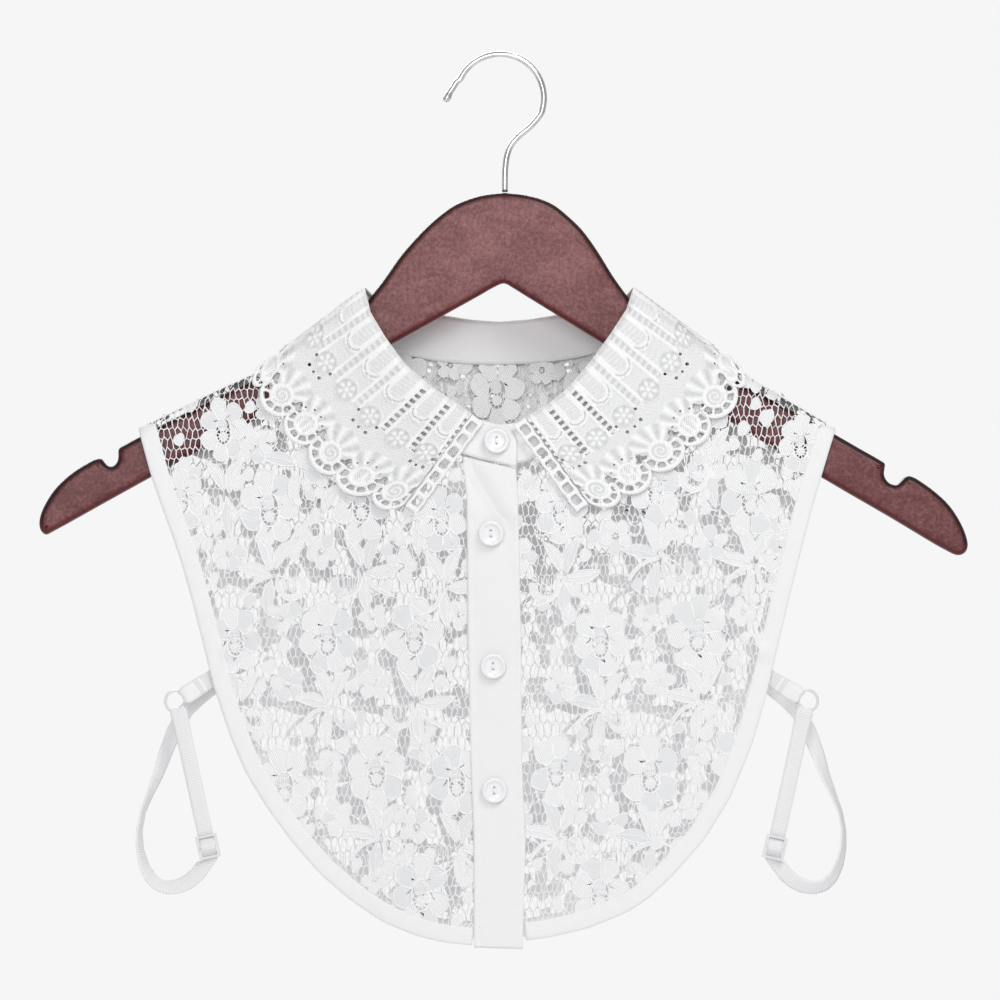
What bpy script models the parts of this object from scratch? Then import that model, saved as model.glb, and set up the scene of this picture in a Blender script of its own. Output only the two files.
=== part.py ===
"""Detachable lace collar, buttoned at the front and hung on a wooden clothes hanger.

One outline unit is 0.48 mm. u runs to the right and v runs down, as seen from the front.
The origin is the inside top of the hanger's hook. The front faces -Y.
"""
import math

import bmesh
import bpy
import numpy as np
from mathutils import Matrix, Vector
from mathutils.geometry import tessellate_polygon

for old in list(bpy.data.objects):
    bpy.data.objects.remove(old)

# Frame and sizes, lengths in metres
UNIT = 0.00048
U0 = 500.0
V0 = 57.0
SEAM = 0.0003
SEAM_HALF = 0.22  # millimetres from the shoulder seam to each cloth

LACE = 0.0010
BINDING = 0.0019
PLACKET = 0.0011
STAND = 0.0012
LEAF = 0.0012
WEBBING = 0.0010

HANGER_THICK = 0.012
HANGER_ROUND = 0.0021
WIRE_RADIUS = 0.0014
BALL_RADIUS = 0.0018
BUTTON_RADIUS = 0.0061
BUTTON_THICK = 0.0026
BINDING_WIDE = 18.0

RING_MID = 0.0052
RING_WIRE = 0.00072
STRAP_WIDE = 0.0074
TAB_WIDE = 0.0078

# Cloth fields. The ridge is the line where the front turns over to the back.
RIDGE = [  # u, v
    (130, 434), (139, 429), (150, 423), (185, 406), (219, 389.5), (262, 370), (300, 350), (330, 331),
    (349, 316), (366.5, 293.5), (400, 290), (600, 290), (632.5, 294), (650, 313), (670, 328), (700, 348),
    (745, 374.5), (790, 401.5), (823, 421), (836, 429),
]
LEAF_RIDGE = [  # u, v
    (250, 370), (262, 363), (283, 352), (311, 330), (344, 301), (355, 291.5), (367, 286.5), (400, 284),
    (600, 284), (632, 286), (642, 293), (660, 309), (700, 342), (736, 362), (748, 370),
]


def column(table, k):
    return np.array([row[k] for row in table], float)


def ease(a):
    t = np.clip(a, 0.0, 1.0)
    return t * t * (3 - 2 * t)


def turn(u, v, ridge):
    """0 on the ridge and 1 where the cloth hangs straight below it."""
    top = np.interp(u, column(ridge, 0), column(ridge, 1))
    reach = 6.5 + 14 * np.exp(-((u - 374) / 18) ** 2) + 14 * np.exp(-((u - 625) / 18) ** 2)
    d = np.clip((v - top) * 0.48 / reach, 0.0, 1.0)
    return np.sqrt(np.clip(1 - (1 - d) ** 2, 0.0, 1.0))


def fold_wave(u, v):
    """Shallow hanging folds, in millimetres."""
    low = ease((v - 500) / 260)
    wave = 0.9 * np.sin((u - 205) / 31) + 0.5 * np.sin((u + v * 0.4) / 23)
    return low * wave


def drag(u, v, u0, v0, u1, v1, wide, high):
    """A crease that runs from a strap into the panel, in millimetres."""
    du, dv = u1 - u0, v1 - v0
    size = math.hypot(du, dv)
    along = ((u - u0) * du + (v - v0) * dv) / size
    off = ((u - u0) * dv - (v - v0) * du) / size
    return high * np.exp(-(off / wide) ** 2) * ease(along / 14 + 0.3) * ease((size - along) / 30 + 0.3)


def front_base(u, v):
    u = np.asarray(u, float)
    v = np.asarray(v, float)
    x = (u - 494) * 0.48
    fall = np.where(v < 440, 1.0, 0.3 + 0.7 * np.exp(-(np.maximum(v - 440, 0) / 260) ** 2))
    base = 8.3 - 1.2 * ease((v - 500) / 200)
    base = base + 20 * np.exp(-(x / 70) ** 2) * fall + fold_wave(u, v)
    base = base + drag(u, v, 222, 655, 300, 588, 10, 1.3) + drag(u, v, 768, 655, 690, 600, 10, 1.1)
    return base + drag(u, v, 566, 730, 662, 668, 16, 1.2)


def back_base(u, v):
    u = np.asarray(u, float)
    v = np.asarray(v, float)
    x = (u - 497) * 0.48
    fall = np.where(v < 370, 1.0, 0.3 + 0.7 * np.exp(-(np.maximum(v - 370, 0) / 230) ** 2))
    base = 8.3 - 1.2 * ease((v - 500) / 200)
    return base + 13 * np.exp(-(x / 72) ** 2) * fall + 0.8 * fold_wave(1000 - u, v)


def front(u, v, off=0.0, ridge=RIDGE, floor=SEAM_HALF):
    """Point on the front cloth, moved out by off millimetres."""
    u = np.asarray(u, float)
    v = np.asarray(v, float)
    y = -np.maximum((front_base(u, v) + off) * turn(u, v, ridge), floor)
    return np.stack([UNIT * (u - U0), y * 0.001, UNIT * (V0 - v)], axis=-1)


def back(u, v, off=0.0, ridge=RIDGE, floor=SEAM_HALF):
    """Point on the back cloth, moved out by off millimetres."""
    u = np.asarray(u, float)
    v = np.asarray(v, float)
    y = np.maximum((back_base(u, v) + off) * turn(u, v, ridge), floor)
    return np.stack([UNIT * (u - U0), y * 0.001, UNIT * (V0 - v)], axis=-1)


# Materials


def material(name, colour, rough, metal=0.0):
    m = bpy.data.materials.new(name)
    m.use_nodes = True
    shader = m.node_tree.nodes["Principled BSDF"]
    shader.inputs["Base Color"].default_value = (*colour, 1.0)
    shader.inputs["Roughness"].default_value = rough
    shader.inputs["Metallic"].default_value = metal
    return m


LACE_WHITE = material("lace_white", (0.86, 0.86, 0.87), 0.9)
COTTON_WHITE = material("cotton_white", (0.90, 0.90, 0.91), 0.85)
MAHOGANY = material("mahogany", (0.16, 0.035, 0.038), 0.4)
CHROME = material("chrome", (0.75, 0.75, 0.77), 0.15, 1.0)
BUTTON_WHITE = material("button_white", (0.88, 0.88, 0.88), 0.3)
FITTING_WHITE = material("fitting_white", (0.86, 0.86, 0.87), 0.35)


# Mesh makers


def add(name, points, faces, mat, smooth=True):
    mesh = bpy.data.meshes.new(name)
    mesh.from_pydata([tuple(p) for p in points], [], faces)
    mesh.update()
    body = bpy.data.objects.new(name, mesh)
    bpy.context.scene.collection.objects.link(body)
    mesh.materials.append(mat)
    shell = bmesh.new()
    shell.from_mesh(mesh)
    bmesh.ops.recalc_face_normals(shell, faces=shell.faces[:])
    if shell.calc_volume(signed=True) < 0:
        bmesh.ops.reverse_faces(shell, faces=shell.faces[:])
    shell.to_mesh(mesh)
    shell.free()
    for poly in mesh.polygons:
        poly.use_smooth = smooth
    return body


def normals(p):
    """Unit normals of a grid of points, rows by columns."""
    du = np.gradient(p, axis=1)
    dv = np.gradient(p, axis=0)
    n = np.cross(du, dv)
    size = np.linalg.norm(n, axis=2, keepdims=True)
    return n / np.maximum(size, 1e-12)


def wall(name, mid, thick, mat, keep=None, raised=None, edge_thin=None):
    """Closed wall on a grid of mid points. keep leaves cells out and raised lifts outer points."""
    rows, cols = mid.shape[:2]
    if keep is None:
        keep = np.ones((rows - 1, cols - 1), bool)
    n = normals(mid)
    half = np.full((rows, cols, 1), thick / 2)
    if edge_thin is not None:
        half = half * edge_thin[:, :, None]
    lift = np.zeros((rows, cols, 1)) if raised is None else raised[:, :, None]
    sides = (mid + n * (half + lift), mid - n * half)
    index = {}
    points = []

    def vertex(side, i, j):
        key = (side, i, j)
        if key not in index:
            index[key] = len(points)
            points.append(sides[side][i, j])
        return index[key]

    faces = []

    def solid(i, j):
        return 0 <= i < rows - 1 and 0 <= j < cols - 1 and keep[i, j]

    for i in range(rows - 1):
        for j in range(cols - 1):
            if not keep[i, j]:
                continue
            ring = [(i, j), (i, j + 1), (i + 1, j + 1), (i + 1, j)]
            faces.append([vertex(0, *c) for c in ring])
            faces.append([vertex(1, *c) for c in reversed(ring)])
            beside = [(i - 1, j), (i, j + 1), (i + 1, j), (i, j - 1)]
            for k in range(4):
                if not solid(*beside[k]):
                    a, b = ring[k], ring[(k + 1) % 4]
                    faces.append([vertex(0, *b), vertex(0, *a), vertex(1, *a), vertex(1, *b)])
    return add(name, points, faces, mat)


def wire(name, path, shares, radius, mat):
    """Bent wire along a path. shares scale the radius at each point."""
    curve = bpy.data.curves.new(name, "CURVE")
    curve.dimensions = "3D"
    curve.bevel_depth = radius
    curve.bevel_resolution = 2
    curve.use_fill_caps = True
    spline = curve.splines.new("POLY")
    spline.points.add(len(path) - 1)
    for point, at, share in zip(spline.points, path, shares):
        point.co = (*at, 1.0)
        point.radius = share
    spline.use_smooth = True
    body = bpy.data.objects.new(name, curve)
    bpy.context.scene.collection.objects.link(body)
    curve.materials.append(mat)
    return body


def spread(points, count):
    """Points even along a polyline."""
    p = np.array(points, float)
    step = np.linalg.norm(np.diff(p, axis=0), axis=1)
    at = np.concatenate([[0], np.cumsum(step)])
    want = np.asarray(count, float) * at[-1] if np.ndim(count) else np.linspace(0, at[-1], count)
    return np.stack([np.interp(want, at, p[:, k]) for k in range(p.shape[1])], axis=1)


def smooth_line(points, count, passes=2):
    """Polyline with its corners eased, resampled."""
    p = spread(points, max(count * 3, 60))
    for _ in range(passes):
        q = p.copy()
        q[1:-1] = 0.25 * p[:-2] + 0.5 * p[1:-1] + 0.25 * p[2:]
        p = q
    return spread(p, count)


def aside(p, dist):
    """Line moved to the left of its run, as seen with v down."""
    t = np.gradient(p, axis=0)
    t = t / np.linalg.norm(t, axis=1, keepdims=True)
    return p + np.stack([t[:, 1], -t[:, 0]], axis=1) * dist


# Outlines: outer edge of the binding, from the shoulder tip to the placket

EDGE_LEFT = [
    (139, 429), (145.5, 453), (152, 477), (160, 500), (172, 533), (183, 566), (193, 602), (204, 645),
    (214, 686), (231, 737), (246, 772), (268, 808), (293, 842), (321, 874), (350, 899), (382, 920.5),
    (417, 935), (446, 941.5), (472, 944),
]
EDGE_RIGHT = [
    (835, 430), (829, 449), (812.5, 504), (793, 580), (777, 647), (766, 695), (751, 746), (730, 797),
    (704, 839), (672, 875), (650, 896), (628, 911), (589, 927), (548, 936.5), (526, 939),
]
NECK_LEFT = [
    (349, 316), (355, 340), (367, 362), (380, 382), (393, 399), (407, 414.5), (421, 428), (436, 440),
    (449, 447.5), (462.5, 455),
]
NECK_RIGHT = [
    (650, 313), (645, 336), (634, 359), (620, 381), (604, 402), (586, 420), (570, 434), (554, 446.5),
    (537, 458), (521, 467.5),
]
NECK_BACK = [
    (349, 316), (354, 322), (361, 330), (371, 338.5), (384, 346), (404, 354.5), (430, 360), (459, 363.5),
    (497, 364.6), (533, 362.8), (566, 359.4), (592, 354.2), (614, 346), (628, 337), (638, 329),
    (645, 320.5), (650, 313),
]
PLACKET_LEFT = [(463, 457), (467, 500), (468, 640), (471, 762), (474, 844), (474, 946)]
PLACKET_RIGHT = [(516, 469), (518, 500), (521, 640), (522, 762), (525.5, 844), (522.5, 947.5)]


def ridge_line(u_from, u_to, count):
    u = np.linspace(u_from, u_to, count)
    return np.stack([u, np.interp(u, column(RIDGE, 0), column(RIDGE, 1))], axis=1)


def patch(left, right, top, bottom, t):
    """Grid between four lines. Rows follow t from top to bottom."""
    cols = len(top)
    s = np.linspace(0, 1, cols)[None, :, None]
    t = t[:, None, None]
    line = (1 - s) * left[:, None, :] + s * right[:, None, :]
    across = (1 - t) * top[None, :, :] + t * bottom[None, :, :]
    corner = (1 - t) * ((1 - s) * top[0] + s * top[-1]) + t * ((1 - s) * bottom[0] + s * bottom[-1])
    return line + across - corner


EDGE_GAP = 1.6
NECK_SHARE = np.array([0.022, 0.06, 0.12, 0.22, 0.36, 0.5, 0.64, 0.78, 0.88, 0.94, 0.978])
NECK_GAP = 2.0
NECK_GAP_SIDE = 3.6
ROWS = np.array([0, 0.0018, 0.007, 0.016, 0.03, 0.07, 0.13, 0.2, 0.28, 0.37, 0.46, 0.56, 0.66, 0.76, 0.87, 1.0])
NECK_ROW = 8
SPLIT = 0.80


def lace_front(name, edge, neck, placket_edge, side):
    """Lace front. side is 1 at the viewer's left and -1 at the right."""
    line = smooth_line(edge, 60)
    inner = aside(line, side * (BINDING_WIDE + EDGE_GAP))
    cut = int(len(inner) * SPLIT)
    tip = inner[0].copy()
    tip[1] = np.interp(tip[0], column(RIDGE, 0), column(RIDGE, 1))
    inner[0] = tip
    side_line = spread(inner[:cut + 1], ROWS)
    gap = np.linspace(NECK_GAP_SIDE, NECK_GAP, 24)[:, None]
    neck_line = aside(smooth_line(neck, 24), -side * gap)
    start = neck[0][0] - side * NECK_GAP_SIDE
    neck_line[0] = (start, np.interp(start, column(RIDGE, 0), column(RIDGE, 1)))
    low = [(u - side * 1.5, v) for u, v in placket_edge[1:-1]]
    corner = np.array([placket_edge[-1][0] - side * 1.5, inner[-1][1]])
    above = spread(neck_line, ROWS[:NECK_ROW + 1] / ROWS[NECK_ROW])
    below = spread([neck_line[-1]] + low + [corner], (ROWS[NECK_ROW + 1:] - ROWS[NECK_ROW]) / (1 - ROWS[NECK_ROW]))
    centre_line = np.concatenate([above, below])
    bottom = spread(list(inner[cut:-1]) + [corner], 13)
    top = ridge_line(tip[0], neck_line[0][0], 13)
    grid = patch(side_line, centre_line, top, bottom, ROWS)
    grid[0] = top
    return wall(name, front(grid[:, :, 0], grid[:, :, 1]), LACE, LACE_WHITE)


lace_front("front_lace_left", EDGE_LEFT, NECK_LEFT, PLACKET_LEFT, 1)
lace_front("front_lace_right", EDGE_RIGHT, NECK_RIGHT, PLACKET_RIGHT, -1)

# Back lace: one piece, its hem a little inside the front's
EDGE_BACK_LEFT = [(u + 3, v - 2 if v > 700 else v) for u, v in EDGE_LEFT]
EDGE_BACK_RIGHT = [(u - 3, v - 2 if v > 700 else v) for u, v in EDGE_RIGHT]
EDGE_BACK_LEFT[0] = EDGE_LEFT[0]
EDGE_BACK_RIGHT[0] = EDGE_RIGHT[0]
EDGE_BACK_LEFT[-1] = (472, 940)
EDGE_BACK_RIGHT[-1] = (526, 938)


def lace_back():
    left = aside(smooth_line(EDGE_BACK_LEFT, 60), BINDING_WIDE + EDGE_GAP)
    right = aside(smooth_line(EDGE_BACK_RIGHT, 60), -(BINDING_WIDE + EDGE_GAP))
    cut = int(60 * 0.78)
    for line in (left, right):
        line[0][1] = np.interp(line[0][0], column(RIDGE, 0), column(RIDGE, 1))
    gap = (NECK_GAP + (NECK_GAP_SIDE - NECK_GAP) * np.abs(np.linspace(-1, 1, 30)) ** 3)[:, None]
    neck = aside(smooth_line(NECK_BACK, 30), -gap)
    for at, u in ((0, NECK_BACK[0][0] - NECK_GAP_SIDE), (-1, NECK_BACK[-1][0] + NECK_GAP_SIDE)):
        neck[at] = (u, np.interp(u, column(RIDGE, 0), column(RIDGE, 1)))
    a = ridge_line(left[0][0], neck[0][0], 5)
    b = ridge_line(neck[-1][0], right[0][0], 5)
    top = np.concatenate([a, spread(neck, NECK_SHARE), b])
    bottom = spread(np.concatenate([left[cut:], right[cut:][::-1]]), len(top))
    grid = patch(spread(left[:cut + 1], ROWS), spread(right[:cut + 1], ROWS), top, bottom, ROWS)
    grid[0] = top
    return wall("back_lace", back(grid[:, :, 0], grid[:, :, 1]), LACE, LACE_WHITE)


lace_back()


# Bindings: folded strips over the raw edge of armholes and hem


def strip(name, line, side, where, end_ridge):
    inner = aside(line, side * BINDING_WIDE)
    ring = np.stack([line, line + (inner - line) * 0.14, line + (inner - line) * 0.86, inner], axis=1)
    for k, at in end_ridge:
        for c in range(4):
            ring[at, c, 1] = np.interp(ring[at, c, 0], column(RIDGE, 0), column(RIDGE, 1)) + k
    mid = where(ring[:, :, 0], ring[:, :, 1], floor=0.6)
    thin = np.ones(ring.shape[:2])
    thin[:, 0] = 0.55
    thin[:, 3] = 0.8
    return wall(name, mid, BINDING, COTTON_WHITE, edge_thin=thin)


def with_tip(line, count):
    """Line with close points at its shoulder end, where the cloth turns over."""
    at = np.concatenate([[0, 0.0016, 0.006, 0.014, 0.028], np.linspace(0.055, 1, count)])
    return spread(line, at)


strip("binding_front_left", with_tip(smooth_line(EDGE_LEFT, 60), 26), 1, front, [(0, 0)])
strip("binding_front_right", with_tip(smooth_line(EDGE_RIGHT, 60), 26), -1, front, [(0, 0)])
back_line = np.concatenate([
    with_tip(smooth_line(EDGE_BACK_LEFT, 60), 24),
    with_tip(smooth_line(EDGE_BACK_RIGHT, 60), 24)[::-1],
])
strip("binding_back", back_line, 1, back, [(0, 0), (0, -1)])


# Button placket: the lap on top and the strip under it


def placket(name, inset, off, v_shift):
    left = spread(PLACKET_LEFT, 15) + (inset, v_shift)
    right = spread(PLACKET_RIGHT, 15) + (-inset, v_shift)
    s = np.linspace(0, 1, 5)[None, :, None]
    grid = (1 - s) * left[:, None, :] + s * right[:, None, :]
    grid[-1, :, 1] = np.minimum(grid[-1, :, 1], 948)
    return wall(name, front(grid[:, :, 0], grid[:, :, 1], off), PLACKET, COTTON_WHITE)


placket("placket_lap", 0.0, 0.75, 0.0)
placket("placket_under", 1.5, -0.75, -1.0)

# Collar stand, from the buttoned end round the neck to the end beneath it
STAND_FRONT_LEFT = [  # top u, top v, bottom u, bottom v, moved out
    (516.8, 440, 516.2, 467.2, 0.55), (512, 429.5, 506, 465.4, 0.55), (503, 425.5, 495, 462.6, 0.55),
    (487, 423, 477, 458.6, 0.55), (471.5, 416.5, 461, 453.8, 0.5), (461, 411, 449, 447.5, 0.35),
    (449, 405, 436, 439.6, 0.1), (437, 397.5, 421, 428, 0), (425, 388.5, 406, 414.5, 0),
    (412, 378, 391, 398, 0), (401, 367, 379, 382.5, 0), (390, 353.5, 370, 367, 0), (381.5, 340, 363, 352, 0),
    (373, 324, 356, 338, 0), (367.5, 311, 352.5, 328, 0), (366, 301, 350.5, 321, 0),
    (366.5, 293.5, 349, 316, 0),
]
STAND_BACK = [
    (370, 299.5, 354, 322, 0), (377, 302.5, 361, 330, 0), (386, 306.5, 371, 338.5, 0),
    (400, 311.5, 384, 346, 0), (418, 316.5, 404, 354.5, 0), (440, 321, 430, 360, 0),
    (466, 325.5, 459, 363.5, 0), (498, 328, 497, 364.6, 0), (530, 325, 533, 362.8, 0),
    (556, 320.5, 566, 359.4, 0), (580, 315.5, 592, 354.2, 0), (599, 310.5, 614, 346, 0),
    (614, 305.5, 628, 337, 0), (623, 302, 638, 329, 0), (629, 298.5, 645, 320.5, 0),
]
STAND_FRONT_RIGHT = [
    (632.5, 294, 650, 313, 0), (633, 301, 648.5, 319, 0), (631.5, 311, 646, 330, 0),
    (626, 325, 640.5, 346, 0), (617, 341.5, 632, 362.5, 0), (606.5, 357, 621, 380, 0),
    (594, 371, 606, 400, 0), (580, 386.5, 589, 418, 0), (566, 400, 573, 432, 0),
    (551, 411.5, 556, 445.5, -0.35), (535, 418.5, 538, 457.5, -0.9), (519, 423, 520.5, 464, -0.95),
    (503, 425, 503, 465, -0.95), (484, 424.5, 484, 460.5, -0.95),
]


def stand():
    columns = []
    for group, where in ((STAND_FRONT_LEFT, front), (STAND_BACK, back), (STAND_FRONT_RIGHT, front)):
        for tu, tv, bu, bv, off in group:
            s = np.linspace(0, 1, 3)
            u = tu + (bu - tu) * s
            v = tv + (bv - tv) * s
            columns.append(where(u, v, off))
    mid = np.stack(columns, axis=1)
    return wall("collar_stand", mid, STAND, COTTON_WHITE)


stand()

# Collar leaves. Each column runs from the fold at the neck to the scalloped edge.
LEAF_FRONT_LEFT = [  # fold u, fold v, edge u, edge v
    (472.3, 414.5, 405.5, 504), (453, 401, 374, 493), (430, 386, 337, 474), (405, 364, 311, 444),
    (386, 338, 287, 416), (371, 313, 263, 386), (365, 287.4, 264, 362.6),
]
LEAF_BACK_LEFT = [
    (365, 287.4, 264, 362.6), (375, 297.5, 271, 405), (397, 304, 306, 438), (420, 310, 350, 455),
    (446, 315, 399, 461), (472, 319, 449, 463), (497.4, 321, 497.3, 464),
]
LEAF_FRONT_RIGHT = [
    (525, 417.5, 587, 501.5), (546, 406, 619, 492), (568, 388, 650, 470), (590, 362, 683, 445),
    (609, 336, 708, 418), (626, 310, 735, 387), (633.5, 287, 734, 361.4),
]
LEAF_BACK_RIGHT = [
    (633.5, 287, 734, 361.4), (624, 298, 726, 404), (601, 304, 691, 438), (578, 310, 647, 455),
    (552, 315, 598, 461), (526, 319, 548, 463), (498.6, 321, 498.7, 464),
]
HOLES_A_SCALLOP = 4
BAR_SHARE = 0.28
SCALLOP_DEEP = 13.0
LEAF_ROWS = [-1.0, 0.03, 0.22, 0.5, 0.868, 0.962, 1.0]
LEAF_OFF = 2.2


def leaf_columns(table):
    """Fold and edge points of every column, with the scallops bulging out."""
    steps = []
    for k in range(HOLES_A_SCALLOP):
        steps += [k / HOLES_A_SCALLOP, (k + BAR_SHARE) / HOLES_A_SCALLOP]
    t = np.array([i + s for i in range(len(table) - 1) for s in steps] + [len(table) - 1])
    at = np.arange(len(table))
    fu, fv, eu, ev = (np.interp(t, at, column(table, k)) for k in range(4))
    run = np.stack([eu - fu, ev - fv], axis=1)
    run = run / np.linalg.norm(run, axis=1, keepdims=True)
    bulge = SCALLOP_DEEP * np.abs(np.sin(np.pi * (t % 1.0))) ** 0.62
    return t, np.stack([fu, fv], axis=1), np.stack([eu, ev], axis=1) + run * bulge[:, None]


def leaf(name, front_table, back_table, flip):
    parts = []
    lifts = []
    for table, where in ((front_table, front), (back_table, back)):
        t, fold, edge = leaf_columns(table)
        grid = []
        lift = []
        block = np.abs(((t + 0.5) % 1.0) - 0.5) < 0.24
        for v in LEAF_ROWS:
            s = max(v, 0.0)
            p = fold + (edge - fold) * s
            out = LEAF_OFF + 1.3 * np.exp(-((s - 0.1) / 0.2) ** 2)
            if v < 0:
                grid.append(where(p[:, 0], p[:, 1], 0.2, LEAF_RIDGE))
            else:
                grid.append(where(p[:, 0], p[:, 1], out, LEAF_RIDGE))
            high = 0.0005 if v in (0.03, 0.22, 0.5) else 0.0
            lift.append(np.where(block, high, 0.0))
        parts.append(np.stack(grid))
        lifts.append(np.stack(lift))
    mid = np.concatenate([parts[0], parts[1][:, 1:]], axis=1)
    raised = np.concatenate([lifts[0], lifts[1][:, 1:]], axis=1)
    keep = np.ones((mid.shape[0] - 1, mid.shape[1] - 1), bool)
    keep[4, 1::2] = False
    if flip:
        mid = mid[:, ::-1]
        raised = raised[:, ::-1]
        keep = keep[:, ::-1]
    return wall(name, mid, LEAF, LACE_WHITE, keep=keep, raised=raised)


leaf("collar_leaf_left", LEAF_FRONT_LEFT, LEAF_BACK_LEFT, False)
leaf("collar_leaf_right", LEAF_FRONT_RIGHT, LEAF_BACK_RIGHT, True)

# Ladder edging on the front edge of each leaf
EDGING_HOLES = 7
EDGING_LEFT = [(478, 419, 411.5, 510)]
EDGING_RIGHT = [(519, 422, 581.5, 508)]


def edging(name, ends, side):
    u0, v0, u1, v1 = ends
    at = [0.0]
    for k in range(EDGING_HOLES):
        at += [(k + 0.30) / (EDGING_HOLES + 0.30), (k + 1) / (EDGING_HOLES + 0.30)]
    at.append(1.0)
    size = math.hypot(u1 - u0, v1 - v0)
    run = np.array([(u1 - u0) / size, (v1 - v0) / size])
    out = np.array([-run[1], run[0]]) * (-side)
    rows = []
    for s in at:
        p = np.array([u0, v0]) + run * size * s
        q = np.array([p + out * k for k in (-6.2, -4.2, 4.6, 6.6)])
        lift = LEAF_OFF + 1.3 * math.exp(-((s - 0.1) / 0.2) ** 2)
        rows.append(front(q[:, 0], q[:, 1], lift, LEAF_RIDGE))
    mid = np.stack(rows)
    keep = np.ones((mid.shape[0] - 1, 3), bool)
    keep[1:-1:2, 1] = False
    return mid, keep


mid, keep = edging("edging_left", EDGING_LEFT[0], 1)
wall("leaf_edging_left", mid, LEAF, LACE_WHITE, keep=keep)
mid, keep = edging("edging_right", EDGING_RIGHT[0], -1)
wall("leaf_edging_right", mid, LEAF, LACE_WHITE, keep=keep)

# Buttons down the placket
BUTTONS = [  # u, v, out from the cloth to its back face
    (496.5, 441, 1.7), (491, 533, 1.7), (493, 665, 1.7), (494, 789, 1.7),
]
BUTTON_PROFILE = [  # share of radius, height from the back face
    (0.55, 0.0), (0.86, 0.0003), (1.0, 0.0011), (0.97, 0.0021), (0.86, 0.0026), (0.70, 0.0021), (0.55, 0.0016),
]


def button(name, u, v, out):
    """Turned button: a profile spun about its axis, set square to the cloth."""
    centre = Vector(front(u, v, out))
    a = Vector(front(u + 6, v, out) - front(u - 6, v, out)).normalized()
    b = Vector(front(u, v - 12, out) - front(u, v + 12, out)).normalized()
    n = a.cross(b).normalized()
    mesh = bpy.data.meshes.new(name)
    line = [(0.0, 0.0, 0.0)] + [(share * BUTTON_RADIUS, 0.0, high) for share, high in BUTTON_PROFILE]
    line.append((0.0, 0.0, BUTTON_PROFILE[-1][1]))
    line = line[::-1]
    mesh.from_pydata(line, [(k, k + 1) for k in range(len(line) - 1)], [])
    body = bpy.data.objects.new(name, mesh)
    bpy.context.scene.collection.objects.link(body)
    turned = body.modifiers.new("turned", "SCREW")
    turned.axis = "Z"
    turned.steps = 14
    turned.render_steps = 14
    turned.use_merge_vertices = True
    turned.merge_threshold = 0.00005
    mesh.materials.append(BUTTON_WHITE)
    across = b.cross(n)
    turn_to = Matrix((across, b, n)).transposed().to_4x4()
    turn_to.translation = centre
    body.matrix_world = turn_to


for i, (u, v, out) in enumerate(BUTTONS):
    button(f"button_{i + 1}", u, v, out)


# Hanger: flat shaped wood with a wire hook

HANGER_LEFT = [  # from the top middle down the left arm and back along its lower edge
    (505, 193), (492, 193.8), (479, 196), (465, 200.5), (453, 206), (440, 215.5), (428, 226), (415, 239.5),
    (402, 254.5), (393, 267), (384, 280), (375, 291.5), (366, 303), (357, 314), (347, 324.5), (330, 338),
    (300, 356), (262, 376), (219, 396), (185, 413), (139, 437), (127, 443.6), (120.2, 447.6), (118.6, 451),
    (118.6, 456.5), (117.6, 461.5), (114.6, 465), (110, 466), (105, 463), (101.6, 458.8), (97, 458.6),
    (88, 463), (73, 472.6), (58.3, 485.8), (48.5, 499), (41.6, 513), (39.6, 523), (41.2, 530.5),
    (46, 534.6), (53, 531.5), (100, 505.4), (152, 476.6), (230, 433.6), (320, 383.7), (388, 346.2),
    (440, 317.4), (480, 295.2), (494, 287.2),
]
HANGER_RIGHT = [
    (518, 193.9), (530, 196), (543, 200), (555, 206), (568, 216.5), (581, 229), (591, 242), (601, 257),
    (612, 275), (624, 292), (634, 304.5), (646, 318), (668, 336), (700, 357), (745, 384), (790, 410),
    (834, 434), (860, 449), (880, 460.4), (884.6, 463.8), (884.4, 468.4), (883.8, 474.4), (886, 480),
    (890.6, 484), (896, 484.6), (900.6, 481), (905.6, 476.2), (912, 476.8), (922, 482.6), (936, 493),
    (949.4, 506), (960.4, 523), (966.4, 538), (967.4, 546.5), (964.6, 552.6), (958.6, 555.2), (951, 553),
    (890, 517.3), (823, 478.4), (740, 427.7), (660, 378.6), (602, 342.8), (560, 317), (525, 295.4),
    (513, 288),
]


def hanger():
    loop = HANGER_LEFT + [(504, 283.4)] + HANGER_RIGHT[::-1]
    p = np.array(loop, float)
    t = np.roll(p, -1, axis=0) - np.roll(p, 1, axis=0)
    t = t / np.linalg.norm(t, axis=1, keepdims=True)
    n = np.stack([t[:, 1], -t[:, 0]], axis=1)
    inward = n if polygon_area(p) < 0 else -n
    half = HANGER_THICK / 2
    bend = [(0.0, 1.0), (0.29, 0.3), (1.0, 0.0)]
    rings = []
    for inset, drop in bend[::-1]:
        rings.append((inset, -(half - HANGER_ROUND * drop)))
    for inset, drop in bend:
        rings.append((inset, half - HANGER_ROUND * drop))
    points = []
    count = len(p)
    for inset, y in rings:
        q = p + inward * (inset * HANGER_ROUND / UNIT)
        for u, v in q:
            points.append((UNIT * (u - U0), y, UNIT * (V0 - v)))
    faces = []
    for r in range(len(rings) - 1):
        for k in range(count):
            m = (k + 1) % count
            faces.append([r * count + k, r * count + m, (r + 1) * count + m, (r + 1) * count + k])
    for r, flip in ((0, False), (len(rings) - 1, True)):
        flat = [Vector((points[r * count + k][0], points[r * count + k][2], 0)) for k in range(count)]
        for tri in tessellate_polygon([flat]):
            a, b, c = (r * count + i for i in tri)
            area = cross2(flat[tri[0]], flat[tri[1]], flat[tri[2]])
            order = (a, b, c) if (area > 0) != flip else (a, c, b)
            faces.append(list(order))
    return add("hanger_wood", points, faces, MAHOGANY)


def polygon_area(p):
    q = np.roll(p, -1, axis=0)
    return 0.5 * float(np.sum(p[:, 0] * q[:, 1] - q[:, 0] * p[:, 1]))


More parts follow.
